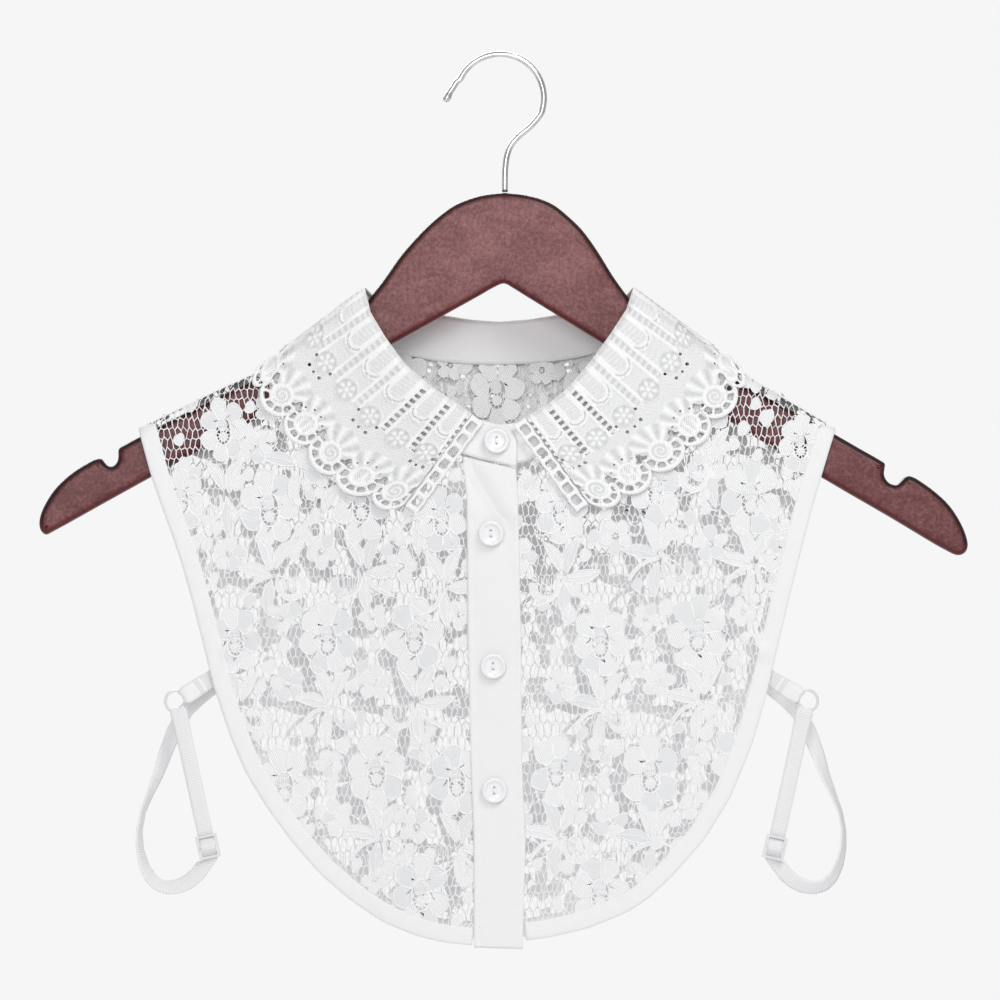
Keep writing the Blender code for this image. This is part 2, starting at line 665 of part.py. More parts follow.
def cross2(a, b, c):
    return (b.x - a.x) * (c.y - a.y) - (b.y - a.y) * (c.x - a.x)


HOOK_CENTRE = (500.0, 98.0)
HOOK_RADIUS = 44.0
HOOK_ENTRY = [(541.2, 113.5), (530.5, 126.5), (519, 136), (511, 145.5), (507, 156), (505.4, 168), (505, 180), (505, 191.9)]


def hook():
    path = [(445.2, 101.8), (446.4, 99.4), (447.8, 96.6), (449.6, 93), (453, 88), (456.6, 82)]
    for a in range(205, 381, 8):
        w = math.radians(a)
        path.append((HOOK_CENTRE[0] + HOOK_RADIUS * math.cos(w), HOOK_CENTRE[1] + HOOK_RADIUS * math.sin(w)))
    path += HOOK_ENTRY
    points = [(UNIT * (u - U0), 0.0, UNIT * (V0 - v)) for u, v in path]
    ball = BALL_RADIUS / WIRE_RADIUS
    shares = [1.0] * len(points)
    shares[:4] = [ball * 0.45, ball * 0.95, ball, ball * 0.8]
    wire("hanger_hook", points, shares, WIRE_RADIUS, CHROME)


hanger()
hook()

# Side straps: tab, ring, elastic and slider on each side
STRAPS = [  # side, ring u, ring v, tab end u, tab end v, slider u, slider v
    (1, 177.0, 701.0, 219.0, 673.5, 208.5, 846.0),
    (-1, 806.3, 700.5, 763.0, 673.5, 774.5, 847.0),
]
LONG_STRAP = [  # u away from the slider, v, y in mm, tilt of the band in degrees about its run
    (5.0, 868, -5.2, 0), (12, 875, -4.6, -6), (22, 882, -4.0, -14), (34, 886.5, -3.2, -24),
    (46, 883.5, -2.4, -34), (57, 873, -1.6, -44), (65.5, 859, -0.6, -56), (69.5, 845, 0.4, -66),
    (68.5, 828, 1.4, -70), (64, 812, 2.2, -72), (58, 796, 2.9, -66), (51, 776, 3.4, -52),
    (43.5, 754, 3.8, -32), (35, 732, 4.3, -12), (24, 712, 4.7, 0), (11, 699, 5.0, 0), (0, 690, 5.2, 0),
    (-11, 682, 5.3, 0),
]
RING_Y = -6.8
BEHIND = 0.0021  # from a binding's middle to the webbing sewn behind it


def band(name, rails, mat):
    """Flat webbing from a grid of points, stations by places across."""
    return wall(name, rails, WEBBING, mat)


def torus(name, centre, ring, wire, mat):
    bpy.ops.mesh.primitive_torus_add(
        major_radius=ring, minor_radius=wire, major_segments=22, minor_segments=7,
        location=tuple(centre), rotation=(math.pi / 2, 0, 0),
    )
    body = bpy.context.object
    body.name = name
    body.data.name = name
    body.data.materials.append(mat)
    for poly in body.data.polygons:
        poly.use_smooth = True


def rails_at_ring(centre, angle, wide, stations):
    """Webbing that turns round the ring's wire. stations are distance out from the ring's middle and y."""
    out = []
    d = np.array([math.cos(angle), math.sin(angle)])
    e = np.array([-d[1], d[0]])
    across = np.linspace(-wide / 2, wide / 2, 4)
    for rho, y in stations:
        row = []
        curl = 1 - float(ease((rho - 0.0060) / 0.004))
        for w in across:
            bent = np.array([math.cos(angle + w / RING_MID), math.sin(angle + w / RING_MID)]) * rho
            flat = d * rho + e * w
            p = bent * curl + flat * (1 - curl)
            row.append((centre[0] + p[0], centre[1] + y, centre[2] + p[1]))
        out.append(row)
    return out


def place(u, v, y):
    return np.array([UNIT * (u - U0), y * 0.001, UNIT * (V0 - v)])


def side_set(side, ru, rv, tu, tv, su, sv):
    tag = "left" if side > 0 else "right"
    centre = place(ru, rv, RING_Y)
    torus(f"ring_{tag}", centre, RING_MID, RING_WIRE, FITTING_WHITE)
    # tab
    root = place(tu, tv, RING_Y)
    angle = math.atan2(root[2] - centre[2], root[0] - centre[0])
    reach = math.hypot(root[2] - centre[2], root[0] - centre[0])
    gap = RING_WIRE + SEAM + WEBBING / 2 + 0.0001
    tuck = float(front(tu, tv)[1]) + BEHIND - centre[1]
    path = [
        (reach, tuck), (reach * 0.78, tuck * 0.9), (0.0086, -0.0009), (RING_MID + 0.0014, -gap - 0.0002),
        (RING_MID, -gap - 0.0001), (RING_MID - gap * 0.72, -gap * 0.72), (RING_MID - gap, 0),
        (RING_MID - gap * 0.72, gap * 0.72), (RING_MID, gap + 0.0001), (RING_MID + 0.0014, gap),
        (0.0078, 0.0013), (0.0094, 0.0014),
    ]
    band(f"tab_{tag}", np.array(rails_at_ring(centre, angle, TAB_WIDE, path)), COTTON_WHITE)
    # elastic
    s = place(su, sv, RING_Y)
    down = np.array([s[0] - centre[0], s[2] - centre[2]])
    run = float(np.linalg.norm(down))
    angle = math.atan2(down[1], down[0])
    bar = run
    over = 0.0014
    inside = [
        (bar - 0.0022, 0.0011), (bar - 0.0044, 0.0021), (bar - 0.0070, 0.0020), (run * 0.75, 0.0011), (run * 0.5, 0.0009),
        (run * 0.25, 0.0009), (0.0092, 0.0010), (RING_MID + 0.0014, gap), (RING_MID, gap + 0.0001),
        (RING_MID - gap * 0.72, gap * 0.72), (RING_MID - gap, 0), (RING_MID - gap * 0.72, -gap * 0.72),
        (RING_MID, -gap - 0.0001), (RING_MID + 0.0014, -gap), (0.0092, -0.0010), (run * 0.25, -0.0006),
        (run * 0.5, -0.0005), (run * 0.75, -0.0004), (bar - 0.0080, 0.0001), (bar - 0.0060, 0.00065),
        (bar - 0.0043, 0.0006), (bar - 0.0010, -0.00225), (bar, -0.0024), (bar + 0.0010, -0.00225),
        (bar + 0.0043, 0.0006), (bar + 0.0062, 0.00075),
    ]
    rails = rails_at_ring(centre, angle, STRAP_WIDE, inside)
    d = Vector((math.cos(angle), 0, math.sin(angle)))
    prev = None
    for k, (du, v, y, tilt) in enumerate(LONG_STRAP):
        p = place(su - side * du, v, y)
        if k >= len(LONG_STRAP) - 2:
            p[1] = float(back(su - side * du, v)[1]) - BEHIND
        rails.append((p, math.radians(tilt)))
        prev = p
    # lay the loop: its width turns about the run of the band
    loop_at = len(inside)
    mids = [np.mean(np.array(r), axis=0) for r in rails[:loop_at]] + [r[0] for r in rails[loop_at:]]
    mids = np.array(mids)
    rows = [np.array(r) for r in rails[:loop_at]]
    first = rows[-1][-1] - rows[-1][0]
    wide_dir = first / np.linalg.norm(first)
    across = np.linspace(-STRAP_WIDE / 2, STRAP_WIDE / 2, 4)
    for k in range(loop_at, len(rails)):
        t = mids[min(k + 1, len(mids) - 1)] - mids[k - 1]
        t = t / np.linalg.norm(t)
        tilt = rails[k][1]
        flat = np.cross(t, np.array([0.0, 1.0, 0.0]))
        flat = flat / np.linalg.norm(flat)
        if np.dot(flat, wide_dir) < 0:
            flat = -flat
        wide_dir = flat
        lift = np.cross(t, flat)
        if lift[1] < 0:
            lift = -lift
        turned = flat * math.cos(tilt) + lift * math.sin(tilt)
        rows.append(np.array([mids[k] + turned * w for w in across]))
    band(f"strap_{tag}", np.array(rows), COTTON_WHITE)
    # slider
    across_dir = Vector((-math.sin(angle), 0, math.cos(angle)))
    slider(f"slider_{tag}", Vector(s), d, across_dir)


SLIDER_WIDE = 0.0104
SLIDER_LONG = 0.0114
SLIDER_THICK = 0.0012
SLIDER_RAIL = 0.0012
SLIDER_BAR = 0.0014


def block(name, size, place_at, turned):
    bpy.ops.mesh.primitive_cube_add(size=1.0)
    body = bpy.context.object
    body.name = name
    for vert in body.data.vertices:
        vert.co = Vector([c * s for c, s in zip(vert.co, size)])
    body.matrix_world = Matrix.Translation(place_at) @ turned
    return body


def slider(name, centre, along, across):
    """Two-window slider: a plate with two cut-outs either side of its middle bar."""
    out = across.cross(along).normalized()
    turned = Matrix((across, along, out)).transposed().to_4x4()
    middle = centre + Vector((0, -0.0009, 0))
    plate = block(name, (SLIDER_WIDE, SLIDER_LONG, SLIDER_THICK), middle, turned)
    plate.data.materials.append(FITTING_WHITE)
    window = (SLIDER_LONG / 2 - SLIDER_RAIL - SLIDER_BAR / 2)
    for k, way in enumerate((-1, 1)):
        at = middle + along * (way * (SLIDER_BAR / 2 + window / 2))
        cutter = block(f"{name}_window_{k}", (SLIDER_WIDE - 2 * SLIDER_RAIL, window, 0.01), at, turned)
        cutter.hide_render = True
        cutter.display_type = "WIRE"
        cut = plate.modifiers.new("window", "BOOLEAN")
        cut.operation = "DIFFERENCE"
        cut.object = cutter


for row in STRAPS:
    side_set(*row)
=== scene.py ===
"""Detachable lace collar on a mahogany hanger, dressed on its frame.

u runs to the right and v runs down, one unit 0.48 mm. The front faces -Y.
"""
import math

import bmesh
import bpy
import numpy as np
from mathutils import Matrix, Vector
from mathutils.geometry import tessellate_polygon


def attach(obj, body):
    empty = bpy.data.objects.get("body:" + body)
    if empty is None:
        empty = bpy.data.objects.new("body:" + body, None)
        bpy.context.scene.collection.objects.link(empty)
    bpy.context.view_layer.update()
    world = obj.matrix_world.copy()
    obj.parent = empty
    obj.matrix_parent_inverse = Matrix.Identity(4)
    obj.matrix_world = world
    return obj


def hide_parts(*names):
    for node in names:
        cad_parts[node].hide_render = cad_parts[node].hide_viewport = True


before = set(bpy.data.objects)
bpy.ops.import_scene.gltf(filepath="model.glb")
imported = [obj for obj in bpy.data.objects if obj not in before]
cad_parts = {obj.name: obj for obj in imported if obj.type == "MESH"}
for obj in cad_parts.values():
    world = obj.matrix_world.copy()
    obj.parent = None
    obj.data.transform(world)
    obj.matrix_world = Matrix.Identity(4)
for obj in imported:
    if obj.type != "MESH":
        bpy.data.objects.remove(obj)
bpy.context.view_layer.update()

# Frame and fields, as the part's source has them
UNIT = 0.00048
MM = 0.48  # millimetres in one unit
U0 = 500.0
V0 = 57.0
SEAM_HALF = 0.22  # millimetres from the shoulder seam to each cloth
BEND = 6.5  # millimetres below the ridge in which the cloth turns down
BEND_AT_NECK = 14.0
NECK_SIDES = (374, 625)
BINDING_WIDE = 18.0
BEHIND_SHIFT = 3
LEAF_OFF = 2.2
LEAF_ROLL = 1.3
SCALLOP_DEEP = 13.0

RIDGE = [
    (130, 434), (139, 429), (150, 423), (185, 406), (219, 389.5), (262, 370), (300, 350), (330, 331),
    (349, 316), (366.5, 293.5), (400, 290), (600, 290), (632.5, 294), (650, 313), (670, 328), (700, 348),
    (745, 374.5), (790, 401.5), (823, 421), (836, 429),
]
LEAF_RIDGE = [
    (250, 370), (262, 363), (283, 352), (311, 330), (344, 301), (355, 291.5), (367, 286.5), (400, 284),
    (600, 284), (632, 286), (642, 293), (660, 309), (700, 342), (736, 362), (748, 370),
]
EDGE_LEFT = [
    (139, 429), (145.5, 453), (152, 477), (160, 500), (172, 533), (183, 566), (193, 602), (204, 645),
    (214, 686), (231, 737), (246, 772), (268, 808), (293, 842), (321, 874), (350, 899), (382, 920.5),
    (417, 935), (446, 941.5), (472, 944),
]
EDGE_RIGHT = [
    (835, 430), (829, 449), (812.5, 504), (793, 580), (777, 647), (766, 695), (751, 746), (730, 797),
    (704, 839), (672, 875), (650, 896), (628, 911), (589, 927), (548, 936.5), (526, 939),
]
NECK_LEFT = [
    (349, 316), (355, 340), (367, 362), (380, 382), (393, 399), (407, 414.5), (421, 428), (436, 440),
    (449, 447.5), (462.5, 455),
]
NECK_RIGHT = [
    (650, 313), (645, 336), (634, 359), (620, 381), (604, 402), (586, 420), (570, 434), (554, 446.5),
    (537, 458), (521, 467.5),
]
NECK_BACK = [
    (349, 316), (354, 322), (361, 330), (371, 338.5), (384, 346), (404, 354.5), (430, 360), (459, 363.5),
    (497, 364.6), (533, 362.8), (566, 359.4), (592, 354.2), (614, 346), (628, 337), (638, 329),
    (645, 320.5), (650, 313),
]
PLACKET_LEFT = [(463, 457), (467, 500), (468, 640), (471, 762), (474, 844), (474, 946)]
PLACKET_RIGHT = [(516, 469), (518, 500), (521, 640), (522, 762), (525.5, 844), (522.5, 947.5)]


def column(table, k):
    return np.array([row[k] for row in table], float)


def ease(a):
    t = np.clip(a, 0.0, 1.0)
    return t * t * (3 - 2 * t)


def unit_of(p):
    """Vectors brought to length 1."""
    return p / np.maximum(np.linalg.norm(p, axis=-1, keepdims=True), 1e-12)


def place(u, v, y):
    """Points of the outline's plane at a depth in metres."""
    return np.stack(np.broadcast_arrays(UNIT * (u - U0), y, UNIT * (V0 - v)), axis=-1)


def ridge_at(u, ridge=RIDGE):
    return np.interp(u, column(ridge, 0), column(ridge, 1))


def turn(u, v, ridge):
    """Share of its depth that the cloth has below the ridge it hangs from."""
    by_neck = sum(np.exp(-((u - side) / 18) ** 2) for side in NECK_SIDES)
    d = np.clip((v - ridge_at(u, ridge)) * MM / (BEND + BEND_AT_NECK * by_neck), 0.0, 1.0)
    return np.sqrt(np.clip(1 - (1 - d) ** 2, 0.0, 1.0))


def fold_wave(u, v):
    low = ease((v - 500) / 260)
    wave = 0.9 * np.sin((u - 205) / 31) + 0.5 * np.sin((u + v * 0.4) / 23)
    return low * wave


def drag(u, v, u0, v0, u1, v1, wide, high):
    """A crease from one point to another, in millimetres."""
    du, dv = u1 - u0, v1 - v0
    size = math.hypot(du, dv)
    along = ((u - u0) * du + (v - v0) * dv) / size
    off = ((u - u0) * dv - (v - v0) * du) / size
    return high * np.exp(-(off / wide) ** 2) * ease(along / 14 + 0.3) * ease((size - along) / 30 + 0.3)


def creases(u, v, table):
    return sum(drag(u, v, *row) for row in table)


# Creases listed: from u, v to u, v, width in units, height in millimetres
FRONT_PULLS = [(222, 655, 300, 588, 10, 1.3), (768, 655, 690, 600, 10, 1.1), (566, 730, 662, 668, 16, 1.2)]
FRONT_CREASES = [
    (224, 662, 296, 592, 5, 1.0), (232, 674, 300, 610, 6, -0.9), (566, 736, 640, 690, 7, 1.2),
    (560, 714, 650, 668, 7, -0.8), (640, 700, 668, 660, 8, 0.8), (350, 724, 392, 700, 9, 0.9),
    (300, 700, 352, 742, 9, -0.6), (770, 662, 716, 612, 6, 0.7), (745, 690, 700, 640, 8, -0.5),
    (600, 860, 640, 800, 12, 0.6),
]
BACK_CREASES = [
    (230, 690, 330, 610, 8, 1.0), (250, 720, 350, 660, 9, -0.7), (770, 690, 690, 590, 8, 0.9),
    (480, 620, 540, 800, 14, 0.8), (420, 560, 400, 760, 13, -0.7), (600, 520, 640, 700, 12, 0.6),
]
PLACKET_CREASES = [
    (462, 458, 506, 534, 9, -2.2), (482, 462, 522, 524, 10, 1.3), (466, 500, 486, 552, 9, 0.9),
    (505, 514, 512, 600, 9, -1.2), (470, 560, 500, 640, 9, 0.45), (474, 690, 500, 760, 10, -0.4),
]


def body_depth(u, v, middle, deep, wide, chest, fall_over):
    """Millimetres from the hanger's plane: a hanging cloth that stands out over the chest or the back."""
    x = (u - middle) * MM
    fall = np.where(v < chest, 1.0, 0.3 + 0.7 * np.exp(-(np.maximum(v - chest, 0) / fall_over) ** 2))
    return 8.3 - 1.2 * ease((v - 500) / 200) + deep * np.exp(-(x / wide) ** 2) * fall


def front_soft(u, v):
    return creases(u, v, FRONT_CREASES)


def back_soft(u, v):
    return creases(u, v, BACK_CREASES)


def front(u, v, off=0.0, ridge=RIDGE, floor=SEAM_HALF):
    u, v = np.asarray(u, float), np.asarray(v, float)
    out = body_depth(u, v, 494, 20, 70, 440, 260) + fold_wave(u, v) + creases(u, v, FRONT_PULLS)
    out = out + front_soft(u, v) + off
    return place(u, v, -0.001 * np.maximum(out * turn(u, v, ridge), floor))


def back(u, v, off=0.0, ridge=RIDGE, floor=SEAM_HALF):
    u, v = np.asarray(u, float), np.asarray(v, float)
    out = body_depth(u, v, 497, 13, 72, 370, 230) + 0.8 * fold_wave(1000 - u, v)
    out = out + back_soft(u, v) + off
    return place(u, v, 0.001 * np.maximum(out * turn(u, v, ridge), floor))


FACING = {front}


def lay(where, u, v, high):
    """Point high millimetres out from the cloth, square to it."""
    u, v = np.asarray(u, float), np.asarray(v, float)
    a = where(u + 0.8, v) - where(u - 0.8, v)
    b = where(u, v + 0.8) - where(u, v - 0.8)
    n = unit_of(np.cross(b, a) if where in FACING else np.cross(a, b))
    high = np.broadcast_to(np.asarray(high, float), u.shape)
    return where(u, v) + n * (high * 0.001)[..., None]


# Lines in the outline's plane


def spread(points, count):
    p = np.array(points, float)
    step = np.linalg.norm(np.diff(p, axis=0), axis=1)
    at = np.concatenate([[0], np.cumsum(step)])
    want = np.asarray(count, float) * at[-1] if np.ndim(count) else np.linspace(0, at[-1], count)
    return np.stack([np.interp(want, at, p[:, k]) for k in range(p.shape[1])], axis=1)


def eased(p, passes):
    """Rows of points, each drawn a little towards its neighbours."""
    for _ in range(passes):
        q = p.copy()
        q[1:-1] = 0.25 * p[:-2] + 0.5 * p[1:-1] + 0.25 * p[2:]
        p = q
    return p


def smooth_line(points, count):
    return spread(eased(spread(points, max(count * 3, 60)), 2), count)


def aside(p, dist):
    t = unit_of(np.gradient(p, axis=0))
    return p + np.stack([t[:, 1], -t[:, 0]], axis=1) * dist


def behind(edge, shift, foot):
    """Edge of the back panel: the front's, moved inwards and a little shorter."""
    return [(u + shift, v - 2 if v > 700 else v) for u, v in edge[:-1]] + [foot]


def inside(poly, u, v):
    """True where a point lies in a polygon."""
    hit = np.zeros(u.shape, bool)
    for (u0, v0), (u1, v1) in zip(poly, np.roll(poly, -1, axis=0)):
        if v0 == v1:
            continue
        cut = (v0 > v) != (v1 > v)
        hit ^= cut & (u < (u1 - u0) * (v - v0) / (v1 - v0) + u0)
    return hit


def chance(*seed):
    """Even number in 0..1 that is the same in every run."""
    s = sum(float(x) * k for x, k in zip(seed, (12.9898, 78.233, 37.719, 4.581)))
    s = math.sin(s) * 43758.5453
    return s - math.floor(s)


# Meshes


class Pile:
    """Points and faces of one piece."""

    def __init__(self):
        self.points = []
        self.faces = []
        self.slots = []
        self.painted_shades = []
        self.count = 0

    def add(self, points, faces, slot=0, painted_shade=1.0):
        points = np.asarray(points, float).reshape(-1, 3)
        self.painted_shades.append(np.broadcast_to(np.asarray(painted_shade, float), (len(points),)))
        faces = np.asarray(faces, int) + self.count
        self.points.append(points)
        self.faces.append(faces)
        self.slots.append(np.full(len(faces), slot))
        self.count += len(points)

    def piece(self, name, mats, slot, nodes, weld=False):
        mesh = bpy.data.meshes.new(name)
        faces = []
        for group in self.faces:
            faces += group.tolist()
        mesh.from_pydata(np.concatenate(self.points).tolist(), [], faces)
        for mat in mats:
            mesh.materials.append(mat)
        mesh.polygons.foreach_set("material_index", np.concatenate(self.slots).astype(np.int32))
        mesh.polygons.foreach_set("use_smooth", np.full(len(mesh.polygons), True))
        mesh.update()
        painted_shades = np.concatenate(self.painted_shades)
        # The per-point tone is painted shade: a factor, 1 where unshaded and lower in the relief's lows,
        # grooves and rib gaps, multiplied into the colour of the materials that read it.
        if painted_shades.min() < 0.999:
            painted_shade_layer = mesh.color_attributes.new("painted_shade", "FLOAT_COLOR", "POINT")
            colour = np.ones((len(painted_shades), 4))
            colour[:, :3] = painted_shades[:, None]
            painted_shade_layer.data.foreach_set("color", colour.ravel())
        if weld:
            shell = bmesh.new()
            shell.from_mesh(mesh)
            bmesh.ops.remove_doubles(shell, verts=shell.verts[:], dist=1e-7)
            bmesh.ops.recalc_face_normals(shell, faces=shell.faces[:])
            shell.to_mesh(mesh)
            shell.free()
        body = bpy.data.objects.new(name, mesh)
        bpy.context.scene.collection.objects.link(body)
        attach(body, "root")
        if nodes:
            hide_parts(*nodes)
        return body


def grid_faces(rows, cols, wrap=False):
    r = np.arange(rows - 1)[:, None]
    c = np.arange(cols if wrap else cols - 1)[None, :]
    d = (c + 1) % cols
    corners = [r * cols + c, r * cols + d, (r + 1) * cols + d, (r + 1) * cols + c]
    return np.stack(corners, axis=-1).reshape(-1, 4)


def tube(pile, path, radius, sides=4, slot=0, closed=False, up=(0, -1, 0)):
    """Round cord along 3-D points."""
    p = np.asarray(path, float)
    n = len(p)
    t = unit_of(np.roll(p, -1, axis=0) - np.roll(p, 1, axis=0) if closed else np.gradient(p, axis=0))
    side = unit_of(np.cross(t, np.broadcast_to(np.asarray(up, float), p.shape)))
    top = np.cross(t, side)
    r = np.broadcast_to(np.asarray(radius, float), (n,))[:, None]
    angles = [2 * math.pi * k / sides for k in range(sides)]
    rings = np.stack([p + r * (math.cos(a) * side + math.sin(a) * top) for a in angles], axis=1)
    if closed:
        pile.add(rings, grid_faces(n + 1, sides, wrap=True) % (n * sides), slot)
        return
    faces = grid_faces(n, sides, wrap=True)
    if sides == 4:
        faces = np.concatenate([faces, [[3, 2, 1, 0], [4 * n - 4, 4 * n - 3, 4 * n - 2, 4 * n - 1]]])
    pile.add(rings, faces, slot)


def outward(points, faces):
    """Faces of a closed wall, turned so that they look out."""
    p = (points - points.mean(axis=0))[faces]
    halves = np.cross(p[:, 1], p[:, 2]) + np.cross(p[:, 2], p[:, 3])
    return faces if np.sum(p[:, 0] * halves) > 0 else faces[:, ::-1]


def border_of(rows, cols):
    """Points round the rim of a grid, in order."""
    return np.concatenate([
        np.arange(cols), np.arange(1, rows) * cols + cols - 1,
        (rows - 1) * cols + np.arange(cols - 2, -1, -1), np.arange(rows - 2, 0, -1) * cols,
    ])


def shell(pile, outer, inner, painted_shade=1.0):
    """Closed wall between two grids of points of the same shape."""
    rows, cols = outer.shape[:2]
    n = rows * cols
    faces = grid_faces(rows, cols)
    border = border_of(rows, cols)
    after = np.roll(border, -1)
    rim = np.stack([border, after, after + n, border + n], axis=1)
    points = np.concatenate([outer.reshape(-1, 3), inner.reshape(-1, 3)])
    pile.add(points, outward(points, np.concatenate([faces[:, ::-1], faces + n, rim])), 0, painted_shade)


# Materials


def shader_of(name, colour, rough):
    m = bpy.data.materials.new(name)
    m.use_nodes = True
    tree = m.node_tree
    s = tree.nodes["Principled BSDF"]
    s.inputs["Base Color"].default_value = (*colour, 1.0)
    s.inputs["Roughness"].default_value = rough
    return m, tree, s


def node(tree, kind, **values):
    n = tree.nodes.new(kind)
    for key, value in values.items():
        if key in n.inputs:
            n.inputs[key].default_value = value
        else:
            setattr(n, key, value)
    return n


def math_node(tree, op, a, b=None):
    n = tree.nodes.new("ShaderNodeMath")
    n.operation = op
    for k, x in enumerate((a, b)):
        if x is None:
            continue
        if isinstance(x, (int, float)):
            n.inputs[k].default_value = x
        else:
            tree.links.new(x, n.inputs[k])
    return n.outputs[0]


def ramp(tree, fac, stops):
    r = tree.nodes.new("ShaderNodeValToRGB")
    tree.links.new(fac, r.inputs["Fac"])
    while len(r.color_ramp.elements) < len(stops):
        r.color_ramp.elements.new(0.5)
    for e, (at, c) in zip(r.color_ramp.elements, stops):
        e.position = at
        e.color = (*c, 1.0)
    return r.outputs["Color"]


def scaled(tree, source, times, plus):
    return math_node(tree, "ADD", math_node(tree, "MULTIPLY", source, times), plus)


def object_coords(tree):
    return tree.nodes.new("ShaderNodeTexCoord").outputs


def noise_of(tree, coords, **values):
    noise = node(tree, "ShaderNodeTexNoise", **values)
    tree.links.new(coords, noise.inputs["Vector"])
    return noise.outputs["Fac"]


def mapped(tree, coords, **values):
    at = node(tree, "ShaderNodeMapping", **values)
    tree.links.new(coords, at.inputs["Vector"])
    return at.outputs["Vector"]


def split(tree, source):
    parts = tree.nodes.new("ShaderNodeSeparateXYZ")
    tree.links.new(source, parts.inputs["Vector"])
    return parts.outputs


def ranged(tree, value, low, high, to_low=0.0, to_high=1.0):
    r = tree.nodes.new("ShaderNodeMapRange")
    for key, number in (("From Min", low), ("From Max", high), ("To Min", to_low), ("To Max", to_high)):
        r.inputs[key].default_value = number
    tree.links.new(value, r.inputs["Value"])
    return r.outputs["Result"]


def mixed(tree, share, a, b, kind="MIX"):
    mix = tree.nodes.new("ShaderNodeMix")
    mix.data_type = "RGBA"
    mix.blend_type = kind
    if isinstance(share, float):
        mix.inputs[0].default_value = share
    else:
        tree.links.new(share, mix.inputs[0])
    tree.links.new(a, mix.inputs[6])
    tree.links.new(b, mix.inputs[7])
    return mix.outputs[2]


def bumped(tree, s, height, strength, distance):
    b = node(tree, "ShaderNodeBump", Strength=strength, Distance=distance)
    tree.links.new(height, b.inputs["Height"])
    tree.links.new(b.outputs["Normal"], s.inputs["Normal"])


def weave_wave(tree, coords, pitch, turned, second):
    """Crossed threads on X and Z: 0 in the gaps and 1 on the threads."""
    parts = split(tree, mapped(tree, coords, Rotation=(0, turned, 0)))
    k = 2 * math.pi / pitch
    a = math_node(tree, "SINE", math_node(tree, "MULTIPLY", parts["X"], k))
    b = math_node(tree, "SINE", math_node(tree, "MULTIPLY", parts["Z"], k * second))
    return scaled(tree, math_node(tree, "MULTIPLY", a, b), 0.5, 0.5)


BLOTCH = 0.06  # share of the slow noise in a cloth's colour
SHEEN = 0.1


def cloth_material(name, low, high, rough, pitch, bump, turned=0.0, second=1.0, with_painted_shade=False):
    m, tree, s = shader_of(name, high, rough)
    coords = object_coords(tree)["Object"]
    wave = weave_wave(tree, coords, pitch, turned, second)
    noise = noise_of(tree, coords, Scale=38.0, Detail=4.0, Roughness=0.6)
    share = math_node(tree, "MULTIPLY", noise, BLOTCH)
    # The gaps between threads take the low colour and the threads the high one: the low colour is painted
    # shade between the threads, with a little random blotch mixed in.
    colour = ramp(tree, math_node(tree, "ADD", math_node(tree, "MULTIPLY", wave, 1 - BLOTCH), share),
                  [(0.12, low), (0.62, high)])
    # These materials also multiply in the per-point painted shade.
    if with_painted_shade:
        painted_shade = node(tree, "ShaderNodeVertexColor", layer_name="painted_shade")
        colour = mixed(tree, 1.0, colour, painted_shade.outputs["Color"], "MULTIPLY")
    tree.links.new(colour, s.inputs["Base Color"])
    fine = noise_of(tree, coords, Scale=2600.0, Detail=2.0)
    bumped(tree, s, math_node(tree, "ADD", wave, math_node(tree, "MULTIPLY", fine, 0.5)), bump, 0.00025)
    s.inputs["Sheen Weight"].default_value = SHEEN
    return m


# The low colours of the cloths below are painted shade in the gaps of their weave.
COTTON_LOW, COTTON_HIGH = (0.80, 0.80, 0.805), (0.86, 0.86, 0.865)
COTTON_PITCH = 0.00042
THREAD = cloth_material("thread_white", (0.88, 0.88, 0.89), (0.96, 0.96, 0.965), 0.85, 0.0009, 0.25)
DENSE = cloth_material("dense_lace", (0.70, 0.705, 0.715), (0.93, 0.93, 0.935), 0.92, 0.0013, 0.8, 0.35)
# The sheer lace is greyer than the dense lace: partly its own thinner weave, partly painted shade for the
# darker layers seen through it.
SHEER = cloth_material("sheer_lace", (0.62, 0.625, 0.635), (0.84, 0.845, 0.85), 0.92, 0.0010, 0.5, 0.1, 0.7)
GUIPURE = cloth_material("guipure", (0.84, 0.845, 0.85), (0.96, 0.96, 0.965), 0.85, 0.0013, 0.6, 0.6,
                         with_painted_shade=True)
COTTON = cloth_material("cotton", COTTON_LOW, COTTON_HIGH, 0.88, COTTON_PITCH, 0.18)
SATIN = cloth_material("cotton_fold", (0.79, 0.79, 0.795), (0.84, 0.84, 0.845), 0.8, COTTON_PITCH, 0.1)
TAB_COTTON = cloth_material("tab_cotton", COTTON_LOW, COTTON_HIGH, 0.88, COTTON_PITCH, 0.18, with_painted_shade=True)
ELASTIC = cloth_material("elastic", (0.80, 0.80, 0.81), (0.93, 0.93, 0.94), 0.8, 0.00075, 0.4, with_painted_shade=True)


def plain_material(name, colour, rough, coat, grain):
    m, tree, s = shader_of(name, colour, rough)
    noise = noise_of(tree, object_coords(tree)["Object"], Scale=300.0, Detail=5.0, Roughness=0.65)
    dark = tuple(c * (1 - grain) for c in colour)
    tree.links.new(ramp(tree, noise, [(0.3, dark), (0.65, colour)]), s.inputs["Base Color"])
    tree.links.new(scaled(tree, noise, 0.12, rough - 0.06), s.inputs["Roughness"])
    bumped(tree, s, noise, 0.08, 0.0001)
    s.inputs["Coat Weight"].default_value = coat
    return m


BUTTON_MAT = plain_material("button_gloss", (0.86, 0.86, 0.87), 0.22, 0.3, 0.03)
FITTING_MAT = plain_material("coated_fitting", (0.74, 0.74, 0.75), 0.3, 0.2, 0.05)
JOINT_AT = 0.0022  # where the wood's two halves are glued, beside the middle
JOINT_HALF = 0.00016


